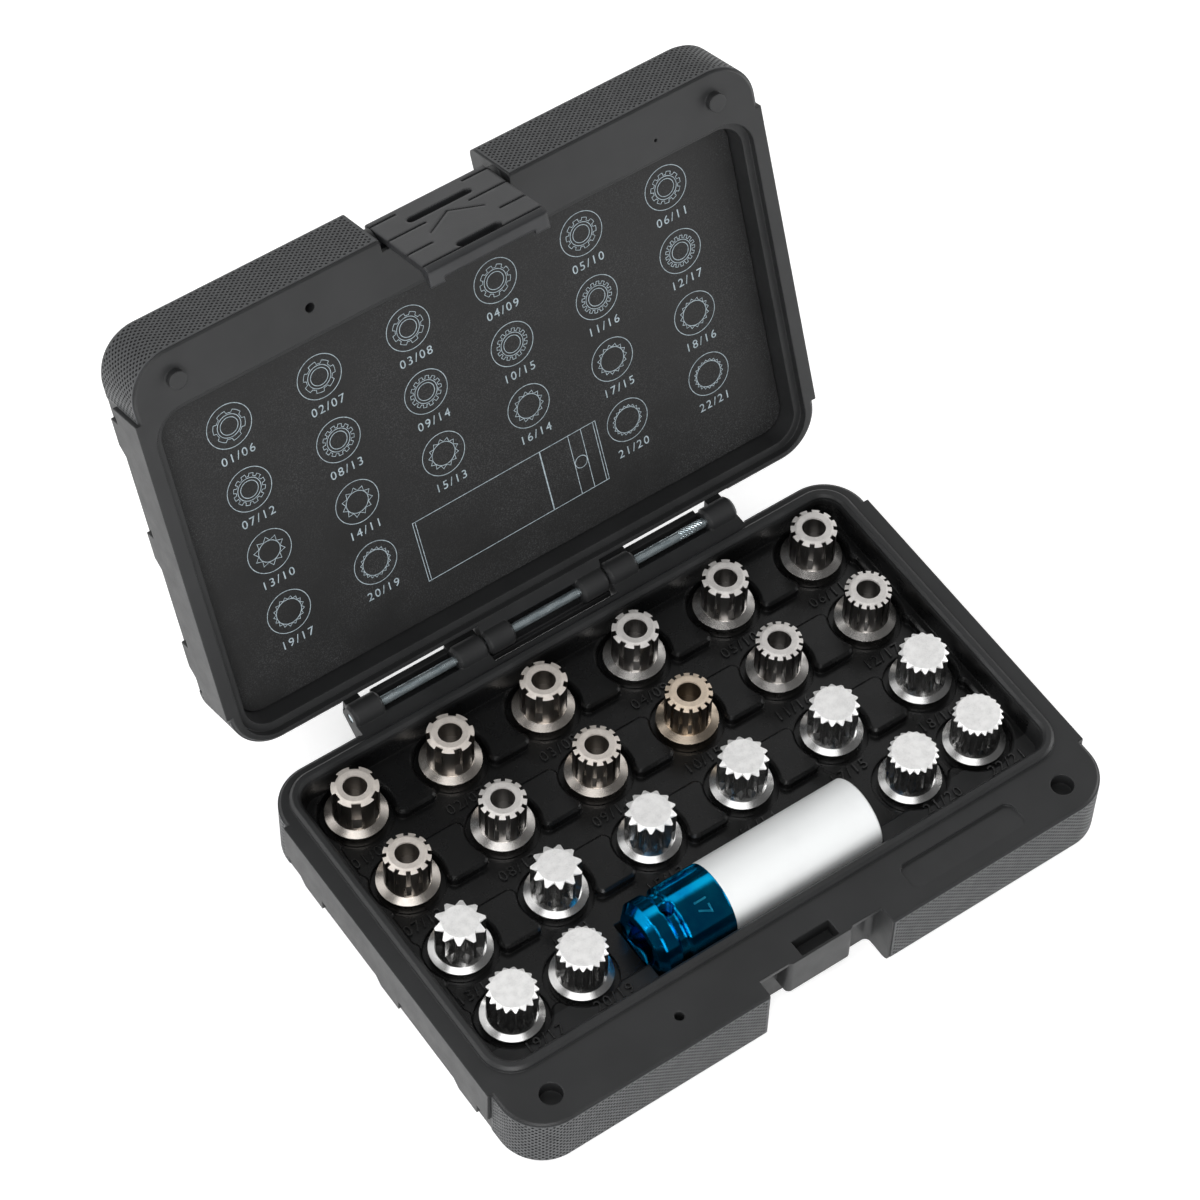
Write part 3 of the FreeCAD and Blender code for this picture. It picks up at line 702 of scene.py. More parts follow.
@dataclass(frozen=True)
class KeySteel:
    """Satin nickel-plated steel: a bright flange and tooth tips, a barrel painted dark as shade, shade painted deeper
    into the hollows of a bored key, and a blasted end.
    """

    name: str
    tint: Tint
    end: float
    # painted shade: the barrel's level is set dark in place of the dark surroundings it reflects
    barrel_painted_shade: float
    barrel_rough: float
    flange: float = 0.72
    flange_rough: float = 0.2
    end_rough: float = 0.5
    painted_bore_shade: bool = False
    # painted shade: the colour that the bore and other hollows are darkened to
    bore: float = 0.2
    bore_reach: float = 8.0 * MM
    bore_open: tuple[float, float] = (0.22, 0.55)
    end_metal: float = 0.55
    lead: float = SPLINE_LEAD

    def shade(self, level: float) -> Colour:
        """The tint at the level given."""
        return tuple(level * part for part in self.tint.value)

    def build(self) -> bpy.types.Material:
        """Writes the material.

        Returns:
            The finished material.
        """
        graph = Graph(self.name)
        vector = graph.place()
        height = graph.axes(vector)[2]
        on_barrel = graph.span(height, FLANGE_TOP - 0.1 * MM, FLANGE_TOP + 0.5 * MM)
        on_end = graph.span(height, KEY_TOP - self.lead - 0.1 * MM, KEY_TOP - self.lead)
        streaks = graph.noise(graph.scaled(vector, (1.0, 1.0, 0.06)), 700.0, 3.0)
        blast = graph.noise(vector, 2600.0, 2.0)
        # painted shade: the barrel's dark colour, with streaks along it
        barrel_painted_shade = graph.mix(graph.span(streaks, 0.35, 0.7), self.shade(self.barrel_painted_shade), self.shade(0.8 * self.barrel_painted_shade))
        # painted shade: ambient occlusion darkens the barrel in the bore and other hollows
        if self.painted_bore_shade:
            opened = graph.span(graph.openness_for_shade(self.bore_reach), *self.bore_open)
            barrel_painted_shade = graph.mix(opened, self.shade(self.bore), barrel_painted_shade)
        flange = graph.mix(blast, self.shade(self.flange), self.shade(0.9 * self.flange))
        worn = graph.math("MULTIPLY", blast, graph.span(graph.noise(vector, 420.0, 3.0), 0.35, 0.65, 0.4, 1.6))
        end = graph.mix(worn, self.shade(self.end), self.shade(0.8 * self.end))
        colour = graph.mix(on_end, graph.mix(on_barrel, flange, barrel_painted_shade), end)
        rough = graph.blend(on_barrel, self.flange_rough, self.barrel_rough)
        rough = graph.math("ADD", graph.blend(on_end, rough, self.end_rough), graph.span(streaks, 0.3, 0.7, 0.0, 0.06))
        graph.relief(graph.math("MULTIPLY", blast, on_end), 0.03 * MM, 0.07 * MM)
        return graph.set(Base_Color=colour, Metallic=graph.span(on_end, 0.0, 1.0, 1.0, self.end_metal), Roughness=rough)


@dataclass(frozen=True)
class BlueMetal:
    """Bright metallic blue over polished steel, with shade painted into its hollows."""

    name: str = "blue_metal"
    deep: Colour = (0.001, 0.21, 0.49)
    bright: Colour = (0.002, 0.36, 0.66)
    rough: float = 0.05
    shadow: Colour = (0.0005, 0.004, 0.007)
    shadow_reach: float = 11.0 * MM
    shadow_open: tuple[float, float] = (0.16, 0.4)

    def build(self) -> bpy.types.Material:
        """Writes the material.

        Returns:
            The finished material.
        """
        graph = Graph(self.name)
        vector = graph.place()
        cloud = graph.noise(vector, 130.0, 4.0)
        colour = graph.mix(graph.span(cloud, 0.35, 0.7), self.deep, self.bright)
        # painted shade: in the drive, the cross hole and other hollows the blue falls to near black and stops being
        # metal
        opened = graph.span(graph.openness_for_shade(self.shadow_reach), *self.shadow_open)
        colour = graph.mix(opened, self.shadow, colour)
        graph.relief(graph.noise(graph.scaled(vector, (6.0, 1.0, 1.0)), 500.0, 2.0), 0.01 * MM, 0.9 * MM)
        return graph.set(Base_Color=colour, Metallic=opened, Specular_Tint=(0.1, 0.7, 1.0, 1.0),
                         Roughness=graph.span(cloud, 0.3, 0.7, self.rough, self.rough + 0.08))


@dataclass(frozen=True)
class WhitePlastic:
    """Satin white plastic of the socket's sleeve."""

    clean: Colour = (0.80, 0.815, 0.815)
    scuffed: Colour = (0.745, 0.76, 0.76)

    def build(self) -> bpy.types.Material:
        """Writes the material.

        Returns:
            The finished material.
        """
        graph = Graph("white_plastic")
        vector = graph.place()
        scuff = graph.span(graph.noise(vector, 70.0, 5.0), 0.5, 0.8)
        graph.relief(graph.noise(graph.scaled(vector, (8.0, 1.0, 1.0)), 300.0, 2.0), 0.02 * MM, 0.3 * MM)
        return graph.set(Base_Color=graph.mix(scuff, self.clean, self.scuffed),
                         Roughness=graph.span(scuff, 0.0, 1.0, 0.32, 0.45))


@dataclass(frozen=True)
class PlatedPin:
    """Bright zinc with a cool tint."""

    bright: Colour = (0.72, 0.82, 0.86)
    dull: Colour = (0.28, 0.35, 0.38)

    def build(self) -> bpy.types.Material:
        """Writes the material.

        Returns:
            The finished material.
        """
        graph = Graph("plated_pin")
        vector = graph.place()
        mottle = graph.span(graph.noise(graph.scaled(vector, (0.25, 1.0, 1.0)), 900.0, 4.0), 0.4, 0.7)
        graph.relief(mottle, 0.02 * MM, 0.1 * MM)
        return graph.set(Base_Color=graph.mix(mottle, self.bright, self.dull), Metallic=0.85,
                         Roughness=graph.span(mottle, 0.0, 1.0, 0.22, 0.36))


# Sub-assemblies


@dataclass
class Hinge:
    """The hinge pin's knurled stretch, which grips a knuckle, and the edge of the lid's trough."""

    axis: Point = (0.0, 82.55 * MM, 25.0 * MM)
    pin_radius: float = 1.6 * MM
    ridge_height: float = 0.15 * MM
    ridges: int = 9
    start: float = 53.8 * MM
    length: float = 9.2 * MM
    rings: int = 16
    edge_half: float = 23.6 * MM
    edge_y: tuple[float, float] = (4.2 * MM, 6.0 * MM)
    edge_z: tuple[float, float] = (-2.75 * MM, -1.7 * MM)

    def knurl(self) -> bpy.types.Object:
        """Models crossed ridges: a ring extruded along the pin, each ring half a ridge round from the last.

        Returns:
            The knurl, in place.
        """
        points = 2 * self.ridges
        piece = round_plate(self.pin_radius + self.ridge_height, points)
        valley = (self.pin_radius - self.ridge_height) / (self.pin_radius + self.ridge_height)
        with editing(piece):
            extrude((0, 0, self.length / self.rings), self.rings)
            low = [index for index in range(points * (self.rings + 1)) if (index // points + index) % 2]
            draw_in(piece, low, valley)
            bpy.ops.mesh.select_all(action="SELECT")
            bpy.ops.mesh.normals_make_consistent(inside=False)
        piece.name = "pin_knurl"
        turn = Matrix.Rotation(math.radians(90), 4, "Y")
        return place(piece, Matrix.Translation((self.start, *self.axis[1:])) @ turn)

    def trough_edge(self) -> bpy.types.Object:
        """Models the strip that closes the lid's trough towards the base, laid out on the shut lid.

        Returns:
            The strip, turned open.
        """
        piece = unit_cube()
        piece.name = "trough_edge"
        middle = (0.0, sum(self.edge_y) / 2, sum(self.edge_z) / 2)
        sizes = (2 * self.edge_half, self.edge_y[1] - self.edge_y[0], self.edge_z[1] - self.edge_z[0], 1.0)
        shut = Matrix.Translation(Vector(self.axis) + Vector(middle)) @ Matrix.Diagonal(sizes)
        return place(place(piece, shut), lid_turn())

    def build(self, pin: bpy.types.Material, plastic: bpy.types.Material) -> None:
        """Adds the knurl to the base's pin and the edge to the lid's trough, in their finishes."""
        finish_piece(self.knurl(), "base", pin)
        finish_piece(self.trough_edge(), "lid", plastic)


@dataclass
class CardPrint:
    """The drawings and figures on the lid's card, laid out on the shut lid's plan."""

    level: float = 34.95 * MM
    thickness: float = 0.04 * MM
    line: float = 0.23 * MM
    origin: tuple[float, float] = (-83.0 * MM, -34.0 * MM)
    column_pitch: float = 32.76 * MM
    row_pitch: float = 24.7 * MM
    turn: float = math.radians(-1.3)
    flange: float = 7.9 * MM
    tip: float = 5.7 * MM
    ring_root: float = 4.7 * MM
    ring_circles: tuple[float, float] = (4.2 * MM, 3.2 * MM)
    circle_points: int = 48
    tooth_points: int = 16
    land_points: int = 10
    tooth_line: float = 0.184 * MM
    star_depth: float = 0.9
    figure_size: float = 4.4 * MM
    figure_spacing: float = 1.25
    figure_drop: float = 11.4 * MM
    socket_x: tuple[float, float] = (-32.8 * MM, 38.5 * MM)
    socket_y: tuple[float, float] = (31.5 * MM, 55.6 * MM)
    socket_joint: float = 16.5 * MM
    socket_groove: tuple[float, float] = (11.0 * MM, 6.0 * MM)
    socket_bevels: tuple[float, float] = (1.0 * MM, 1.2 * MM)
    socket_hole: float = 2.4 * MM

    def circle(self, radius: float) -> bpy.types.Object:
        """Draws one plain circle."""
        return outline_of(round_plate(radius, self.circle_points), self.line)

    def ring_outline(self, teeth: int) -> bpy.types.Object:
        """Draws square teeth round a circle.

        Args:
            teeth: How many.

        Returns:
            The outline as a mesh.
        """
        points = self.tooth_points * teeth
        gaps = [step for step in range(points) if step % self.tooth_points >= self.land_points]
        piece = round_plate(self.tip, points)
        with editing(piece):
            draw_in(piece, gaps, self.ring_root / self.tip)
        return outline_of(piece, self.tooth_line)

    def star_outline(self, teeth: int) -> tuple[bpy.types.Object, float]:
        """Draws pointed teeth.

        Args:
            teeth: How many.

        Returns:
            The outline as a mesh, and the radius at the foot of its teeth.
        """
        root = self.tip * (1 - self.star_depth * math.pi / teeth)
        piece = round_plate(self.tip, 2 * teeth)
        with editing(piece):
            draw_in(piece, range(1, 2 * teeth, 2), root / self.tip)
        return outline_of(piece, self.tooth_line), root

    def drawing(self, key: KeyPlace) -> bpy.types.Object:
        """Draws one key as seen from its end, on the origin.

        Args:
            key: The key.

        Returns:
            The drawing.
        """
        if key.kind is KeyKind.RING:
            parts = [self.ring_outline(key.teeth)] + [self.circle(radius) for radius in self.ring_circles]
        else:
            star, root = self.star_outline(key.teeth)
            parts = [star, self.circle(root - self.line / 2)]
        return join([self.circle(self.flange)] + parts, f"drawing_{key.node}")

    def spot(self, column: float, row: float) -> Matrix:
        """Where a drawing goes on the shut lid, face down and turned with the print.

        Args:
            column: Its column, from the left.
            row: Its row, from the front.

        Returns:
            Its place.
        """
        turn = Matrix.Rotation(self.turn, 4, "Z")
        offset = turn @ Vector((column * self.column_pitch, row * self.row_pitch, 0.0))
        centre = Vector((*self.origin, self.level - self.thickness)) + offset
        return Matrix.Translation(centre) @ turn @ Matrix.Rotation(math.pi, 4, "X")

    def rectangle(self, x0: float, x1: float, y0: float, y1: float, outline: bool = True) -> bpy.types.Object:
        """Draws an upright rectangle of the socket's drawing, as a line or filled.

        Args:
            x0: Its left side.
            x1: Its right side.
            y0: Its lower side.
            y1: Its upper side.
            outline: Whether only its edge is drawn.

        Returns:
            The rectangle.
        """
        piece = add_mesh("plane", size=1.0)
        with editing(piece):
            bpy.ops.transform.resize(value=(x1 - x0, y1 - y0, 1.0), center_override=(0, 0, 0))
            bpy.ops.transform.translate(value=((x0 + x1) / 2, (y0 + y1) / 2, 0.0))
        return outline_of(piece, self.line) if outline else piece

    def socket_drawing(self) -> bpy.types.Object:
        """Draws the socket from its side: sleeve, body, groove, cross hole and chamfered ends.

        Returns:
            The drawing, with the joint of sleeve and body on the origin.
        """
        half = (self.socket_y[1] - self.socket_y[0]) / 2
        start = self.socket_x[0] - self.socket_joint
        end = self.socket_x[1] - self.socket_joint
        groove = [end - offset for offset in self.socket_groove]
        edges = [start + self.socket_bevels[0], end - self.socket_bevels[1], *groove]
        parts = [self.rectangle(start, 0.0, -half, half), self.rectangle(0.0, end, -half, half)]
        parts += [self.rectangle(edge, edge + self.line, -half, half, False) for edge in edges]
        hole = self.circle(self.socket_hole)
        parts.append(place(hole, Matrix.Translation((sum(groove) / 2 + self.line / 2, 0.0, 0.0))))
        return join(parts, "socket_drawing")

    def build(self, rows: list[list[KeyPlace]], ink: bpy.types.Material) -> None:
        """Draws every key with its figures, and the socket.

        Args:
            rows: The keys, row by row.
            ink: The print's finish.
        """
        opened = lid_turn()
        for row, keys in enumerate(rows):
            columns = range(6) if len(keys) == 6 else (0, 1, 4, 5)
            parts = []
            for column, key in zip(columns, keys):
                spot = self.spot(column, row)
                parts.append(place(self.drawing(key), spot))
                figures = printed_text(key.figures, self.figure_size, self.figure_spacing)
                parts.append(place(figures, spot @ Matrix.Translation((0.0, -self.figure_drop, 0.0))))
            self.lay(join(parts, f"print_row_{row + 1}"), opened, ink)
        turn = Matrix.Rotation(self.turn, 4, "Z")
        centre = Vector((self.socket_joint, sum(self.socket_y) / 2, self.level - self.thickness))
        spot = Matrix.Translation(centre) @ turn @ Matrix.Rotation(math.pi, 4, "X")
        self.lay(place(self.socket_drawing(), spot), opened, ink)

    def lay(self, piece: bpy.types.Object, opened: Matrix, ink: bpy.types.Material) -> None:
        """Gives a drawing on the shut lid its thickness and turns it open with the lid."""
        apply_modifier(piece, "SOLIDIFY", thickness=self.thickness, offset=-1.0)
        finish_piece(place(piece, opened), "lid", ink)


@dataclass
class TrayFigures:
    """Raised figures in front of each key: on the channel floor, and on the front pad for the last row."""

    size: float = 5.6 * MM
    spacing: float = 1.15
    height: float = 0.7 * MM
    forward: float = 15.0 * MM
    left: float = 4.0 * MM
    front_forward: float = 13.6 * MM
    front_right: float = 3.0 * MM

    def spot(self, key: KeyPlace, front: bool) -> Point:
        """Where the middle of a key's figures goes, sunk by a third of their height.

        Args:
            key: The key.
            front: Whether it stands in the front row.

        Returns:
            The place.
        """
        if front:
            return (key.x + self.front_right, key.y - self.front_forward, PAD_TOP - self.height / 3)
        return (key.x - self.left, key.y - self.forward, CHANNEL_FLOOR - self.height / 3)

    def build(self, rows: list[list[KeyPlace]], finish: bpy.types.Material) -> None:
        """Raises one row of figures at a time.

        Args:
            rows: The keys, row by row.
            finish: The case's plastic, darkened as painted shade to match the tray.
        """
        for row, keys in enumerate(rows):
            parts = [
                place(printed_text(key.figures, self.size, self.spacing), Matrix.Translation(self.spot(key, row == 3)))
                for key in keys
            ]
            piece = join(parts, f"tray_figures_{row + 1}")
            apply_modifier(piece, "SOLIDIFY", thickness=4 / 3 * self.height, offset=1.0)
            finish_piece(piece, "base", finish)


@dataclass(frozen=True)
class KeyCrown:
    """The toothed end of one key: a thin cap over the solid's own end, with a flatter lead on its teeth."""

    key: KeyPlace
    root: float
    tip: float
    face: float
    lead: float
    depth: float
    bore: float = 0.0
    cover: float = 0.02 * MM
    overrun: float = 0.1 * MM
    facets: int = 96
    slot_share: float = 0.42
    groove_slope: ClassVar[float] = math.tan(math.radians(44.0))
    groove_share: ClassVar[float] = 0.9

    @classmethod
    def of_key(cls, key: KeyPlace) -> KeyCrown:
        """The crown that goes on a key.

        Args:
            key: The key.

        Returns:
            Its crown, with the radii of the key's own end.
        """
        if key.kind is KeyKind.RING:
            return cls(key, root=6.4 * MM, tip=7.7 * MM, face=5.8 * MM, lead=RING_LEAD, depth=1.55 * MM, bore=4.0 * MM)
        tip = 8.2 * MM
        root = tip - cls.groove_share * math.pi * tip / key.teeth / cls.groove_slope
        return cls(key, root=root, tip=tip, face=root, lead=SPLINE_LEAD, depth=1.85 * MM)

    @property
    def tall(self) -> float:
        """How tall a cutter is, which is well past the crown."""
        return 4.0 * self.depth

    def slot_cutter(self) -> Matrix:
        """The shape that a unit cube takes to cut a square slot, at the key's right.

        Returns:
            Its place, turn and scale.
        """
        reach = self.tip + self.overrun - self.root
        wide = self.slot_share * math.pi * (self.tip + self.root) / self.key.teeth - 2 * self.cover
        middle = Matrix.Translation((self.root + self.cover + reach / 2, 0, 0))
        return middle @ Matrix.Diagonal((reach, wide, self.tall, 1))

    def groove_cutter(self) -> Matrix:
        """The shape that a unit cube takes to cut a V groove with its edge, at the key's right.

        Returns:
            Its place, turn and scale.
        """
        apex = self.root + 1.5 * self.cover
        half = self.tip + self.overrun - apex
        side = half * math.sqrt(2)
        spread = Matrix.Diagonal((1.0, self.groove_slope, 1.0, 1.0))
        on_edge = Matrix.Rotation(math.radians(45.0), 4, "Z") @ Matrix.Diagonal((side, side, self.tall, 1))
        return Matrix.Translation((apex + half, 0, 0)) @ spread @ on_edge

    def blank(self) -> bpy.types.Object:
        """Turns the crown before its grooves are cut, with its top at the origin.

        Returns:
            A cone on a short round.
        """
        middle = self.cover - self.lead / 2
        piece = add_mesh("cone", vertices=self.facets, radius1=self.tip + self.cover, radius2=self.face + self.cover,
                         depth=self.lead, location=(0, 0, middle))
        bpy.ops.object.transform_apply(location=True)
        low = [vertex.index for vertex in piece.data.vertices if vertex.co.z < middle]
        with editing(piece):
            select_vertices(piece, low)
            extrude((0, 0, self.lead - self.depth))
        return piece

    def grooves(self) -> bpy.types.Object:
        """Sets out a cutter for every groove, and one for the bore.

        Returns:
            The cutters, as one mesh.
        """
        shape = self.slot_cutter() if self.key.kind is KeyKind.RING else self.groove_cutter()
        parts = [
            place(unit_cube(), Matrix.Rotation(2 * math.pi * step / self.key.teeth, 4, "Z") @ shape)
            for step in range(self.key.teeth)
        ]
        if self.bore:
            parts.append(add_mesh("cylinder", vertices=self.facets, radius=self.bore - self.cover, depth=self.tall))
        return join(parts, "groove_cutters")

    def build(self, finish: bpy.types.Material) -> None:
        """Cuts the grooves and sets the crown on its key.

        Args:
            finish: The key's steel.
        """
        piece, cutters = self.blank(), self.grooves()
        apply_modifier(piece, "BOOLEAN", object=cutters, operation="DIFFERENCE", solver="EXACT")
        bpy.data.objects.remove(cutters)
        piece.name = f"{self.key.node}_crown"
        piece.data.name = piece.name
        place(piece, Matrix.Translation((self.key.x, self.key.y, KEY_TOP)))
        finish_piece(piece, f"{self.key.node}_body", finish)


class Half(Enum):
    """The two halves of the case, each by its body's name."""

    BASE = "base"
    LID = "lid"


@dataclass
class KnurledSkin:
    """The knurl on one half's outer wall: a thin skin with pits pressed into it in a diamond pattern."""

    half: Half
    pitch: float = 1.08 * MM
    row_pitch: float = 0.97 * MM
    lift: float = 0.4 * MM
    wall: float = 0.6 * MM
    pit: float = 0.6 * MM
    pit_slope: float = 0.12 * MM
    pit_depth: float = 0.34 * MM
    front_start: float = 24.2 * MM
    front_end: float = 55.85 * MM
    back_start: float = 76.0 * MM
    back_end: float = 59.85 * MM
    base_levels: tuple[float, float] = (3.1 * MM, 24.2 * MM)
    lid_levels: tuple[float, float] = (26.2 * MM, 46.3 * MM)

    def levels(self) -> tuple[float, float]:
        """The lowest and highest edge of the knurl, in the shut case."""
        return self.base_levels if self.half is Half.BASE else self.lid_levels

    def rows(self) -> int:
        """How many steps the knurl has from its lowest edge to its highest."""
        low, high = self.levels()
        return round((high - low) / self.row_pitch)

    def column(self, x: float, y: float) -> bpy.types.Object:
        """Draws an upright row of points at a place on the wall.

        Args:
            x: The place along the hinge.
            y: The place from latch to hinge.

        Returns:
            The row.
        """
        low, high = self.levels()
        piece = add_mesh("plane", size=self.pitch)
        with editing(piece):
            bpy.ops.mesh.merge(type="CENTER")
            bpy.ops.transform.translate(value=(x, y, low))
            extrude((0, 0, (high - low) / self.rows()), self.rows())
        return piece

    def run(self, way: Point, length: float) -> None:
        """Draws the selected row along a straight wall in edit mode, in a direction and over a length."""
        count = round(length / self.pitch)
        extrude(tuple(length / count * part for part in way), count)

    def sheet(self, side: int, way: int) -> bpy.types.Object:
        """Models one smooth sheet along a wall, round a corner and on along the next wall.

        Args:
            side: -1 for the left corner, 1 for the right.
            way: -1 for the front corner, 1 for the back.

        Returns:
            The sheet, its points numbered column by column.
        """
        start, end = (self.front_start, self.front_end) if way < 0 else (self.back_start, self.back_end)
        across, along = (half - CORNER_RADIUS for half in BODY_HALF)
        piece = self.column(side * start, way * (BODY_HALF[1] + self.lift))
        with editing(piece):
            self.run((side, 0.0, 0.0), across - start)
            bpy.ops.mesh.spin(steps=round(CORNER_RADIUS * math.pi / 2 / self.pitch), angle=side * way * math.pi / 2,
                              axis=(0, 0, 1), center=(side * across, way * along, 0.0))
            self.run((0.0, -way, 0.0), along - end)
            bpy.ops.mesh.select_all(action="SELECT")
            bpy.ops.mesh.normals_make_consistent(inside=False)
        if piece.data.polygons[0].normal.y * way < 0:
            with editing(piece, "FACE"):
                bpy.ops.mesh.flip_normals()
        return piece

    def centres(self, piece: bpy.types.Object) -> list[int]:
        """Every other point of a sheet, leaving out its edge.

        Args:
            piece: The sheet.

        Returns:
            The points' numbers.
        """
        tall = self.rows() + 1
        wide = len(piece.data.vertices) // tall
        return [
            column * tall + row
            for column in range(1, wide - 1) for row in range(1, tall - 1) if (column + row) % 2
        ]

    def press(self, piece: bpy.types.Object) -> None:
        """Presses a pit into a sheet at every other point, and marks the pits' floors, where the finish paints shade.

        Args:
            piece: The sheet.
        """
        with editing(piece):
            select_vertices(piece, self.centres(piece))
            bpy.ops.mesh.bevel(offset=self.pit, affect="VERTICES")
        cell = 0.9 * self.pitch * self.row_pitch
        small = [face.index for face in piece.data.polygons if len(face.vertices) == 4 and face.area < cell]
        with editing(piece, "FACE"):
            bpy.ops.mesh.select_all(action="DESELECT")
            bpy.ops.object.mode_set(mode="OBJECT")
            for index in small:
                piece.data.polygons[index].select = True
            bpy.ops.object.mode_set(mode="EDIT")
            bpy.ops.mesh.inset(thickness=self.pit_slope, depth=-self.pit_depth, use_individual=True)
        # the mark tells the finish where to paint shade
        mark = piece.data.attributes.new("pit", "FLOAT", "POINT")
        for face in piece.data.polygons:
            if face.select:
                for index in face.vertices:
                    mark.data[index].value = 1.0

    def stretch(self, side: int, way: int) -> bpy.types.Object:
        """Models one stretch of knurl and gives it a back inside the wall.

        Args:
            side: -1 for the left corner, 1 for the right.
            way: -1 for the front corner, 1 for the back.

        Returns:
            The stretch, as a closed skin.
        """
        piece = self.sheet(side, way)
        self.press(piece)
        apply_modifier(piece, "SOLIDIFY", thickness=self.wall, offset=-1.0)
        return piece

    def build(self, finish: bpy.types.Material) -> None:
        """Knurls the four corners of one half, and turns the lid's open.

        Args:
            finish: The knurled plastic.
        """
        piece = join([self.stretch(side, way) for way in (-1, 1) for side in (-1, 1)], f"{self.half.value}_knurl")
        if self.half is Half.LID:
            place(piece, lid_turn())
        finish_piece(piece, self.half.value, finish)


@dataclass
class SocketMark:
    """The size of the socket's hexagon, etched round its body."""

    figures: str = "17"
    size: float = 6.5 * MM
    x: float = -24.5 * MM
    axis: tuple[float, float] = (-34.85 * MM, 18.5 * MM)
    lean: float = math.radians(12.0)
    height: float = 25.0 * MM
    depth: float = 0.06 * MM

    def build(self, socket: bpy.types.Object, finish: bpy.types.Material) -> None:
        """Wraps the figures on to the socket.

        Args:
            socket: The socket's node in the frame.
            finish: The mark's finish.
        """
        piece = printed_text(self.figures, self.size)
        with editing(piece, "FACE"):
            bpy.ops.mesh.quads_convert_to_tris()
            bpy.ops.mesh.subdivide(number_cuts=4)
        above = Matrix.Translation((self.x, *self.axis)) @ Matrix.Rotation(self.lean, 4, "X")
        turn = Matrix.Rotation(math.radians(-90), 4, "Z")
        place(piece, above @ Matrix.Translation((0, 0, self.height)) @ turn)
        apply_modifier(piece, "SHRINKWRAP", target=socket, wrap_method="PROJECT", use_project_z=True,
                       use_negative_direction=True, use_positive_direction=False, offset=self.depth / 2)
        apply_modifier(piece, "SOLIDIFY", thickness=self.depth, offset=-1.0)
        piece.name = "socket_size_mark"
        finish_piece(piece, "socket", finish)


@dataclass(frozen=True)
class Lamp:
    """One soft square lamp: where it hangs, how wide it is and its power in watts."""

    name: str
    spot: Point
    size: float
    power: float


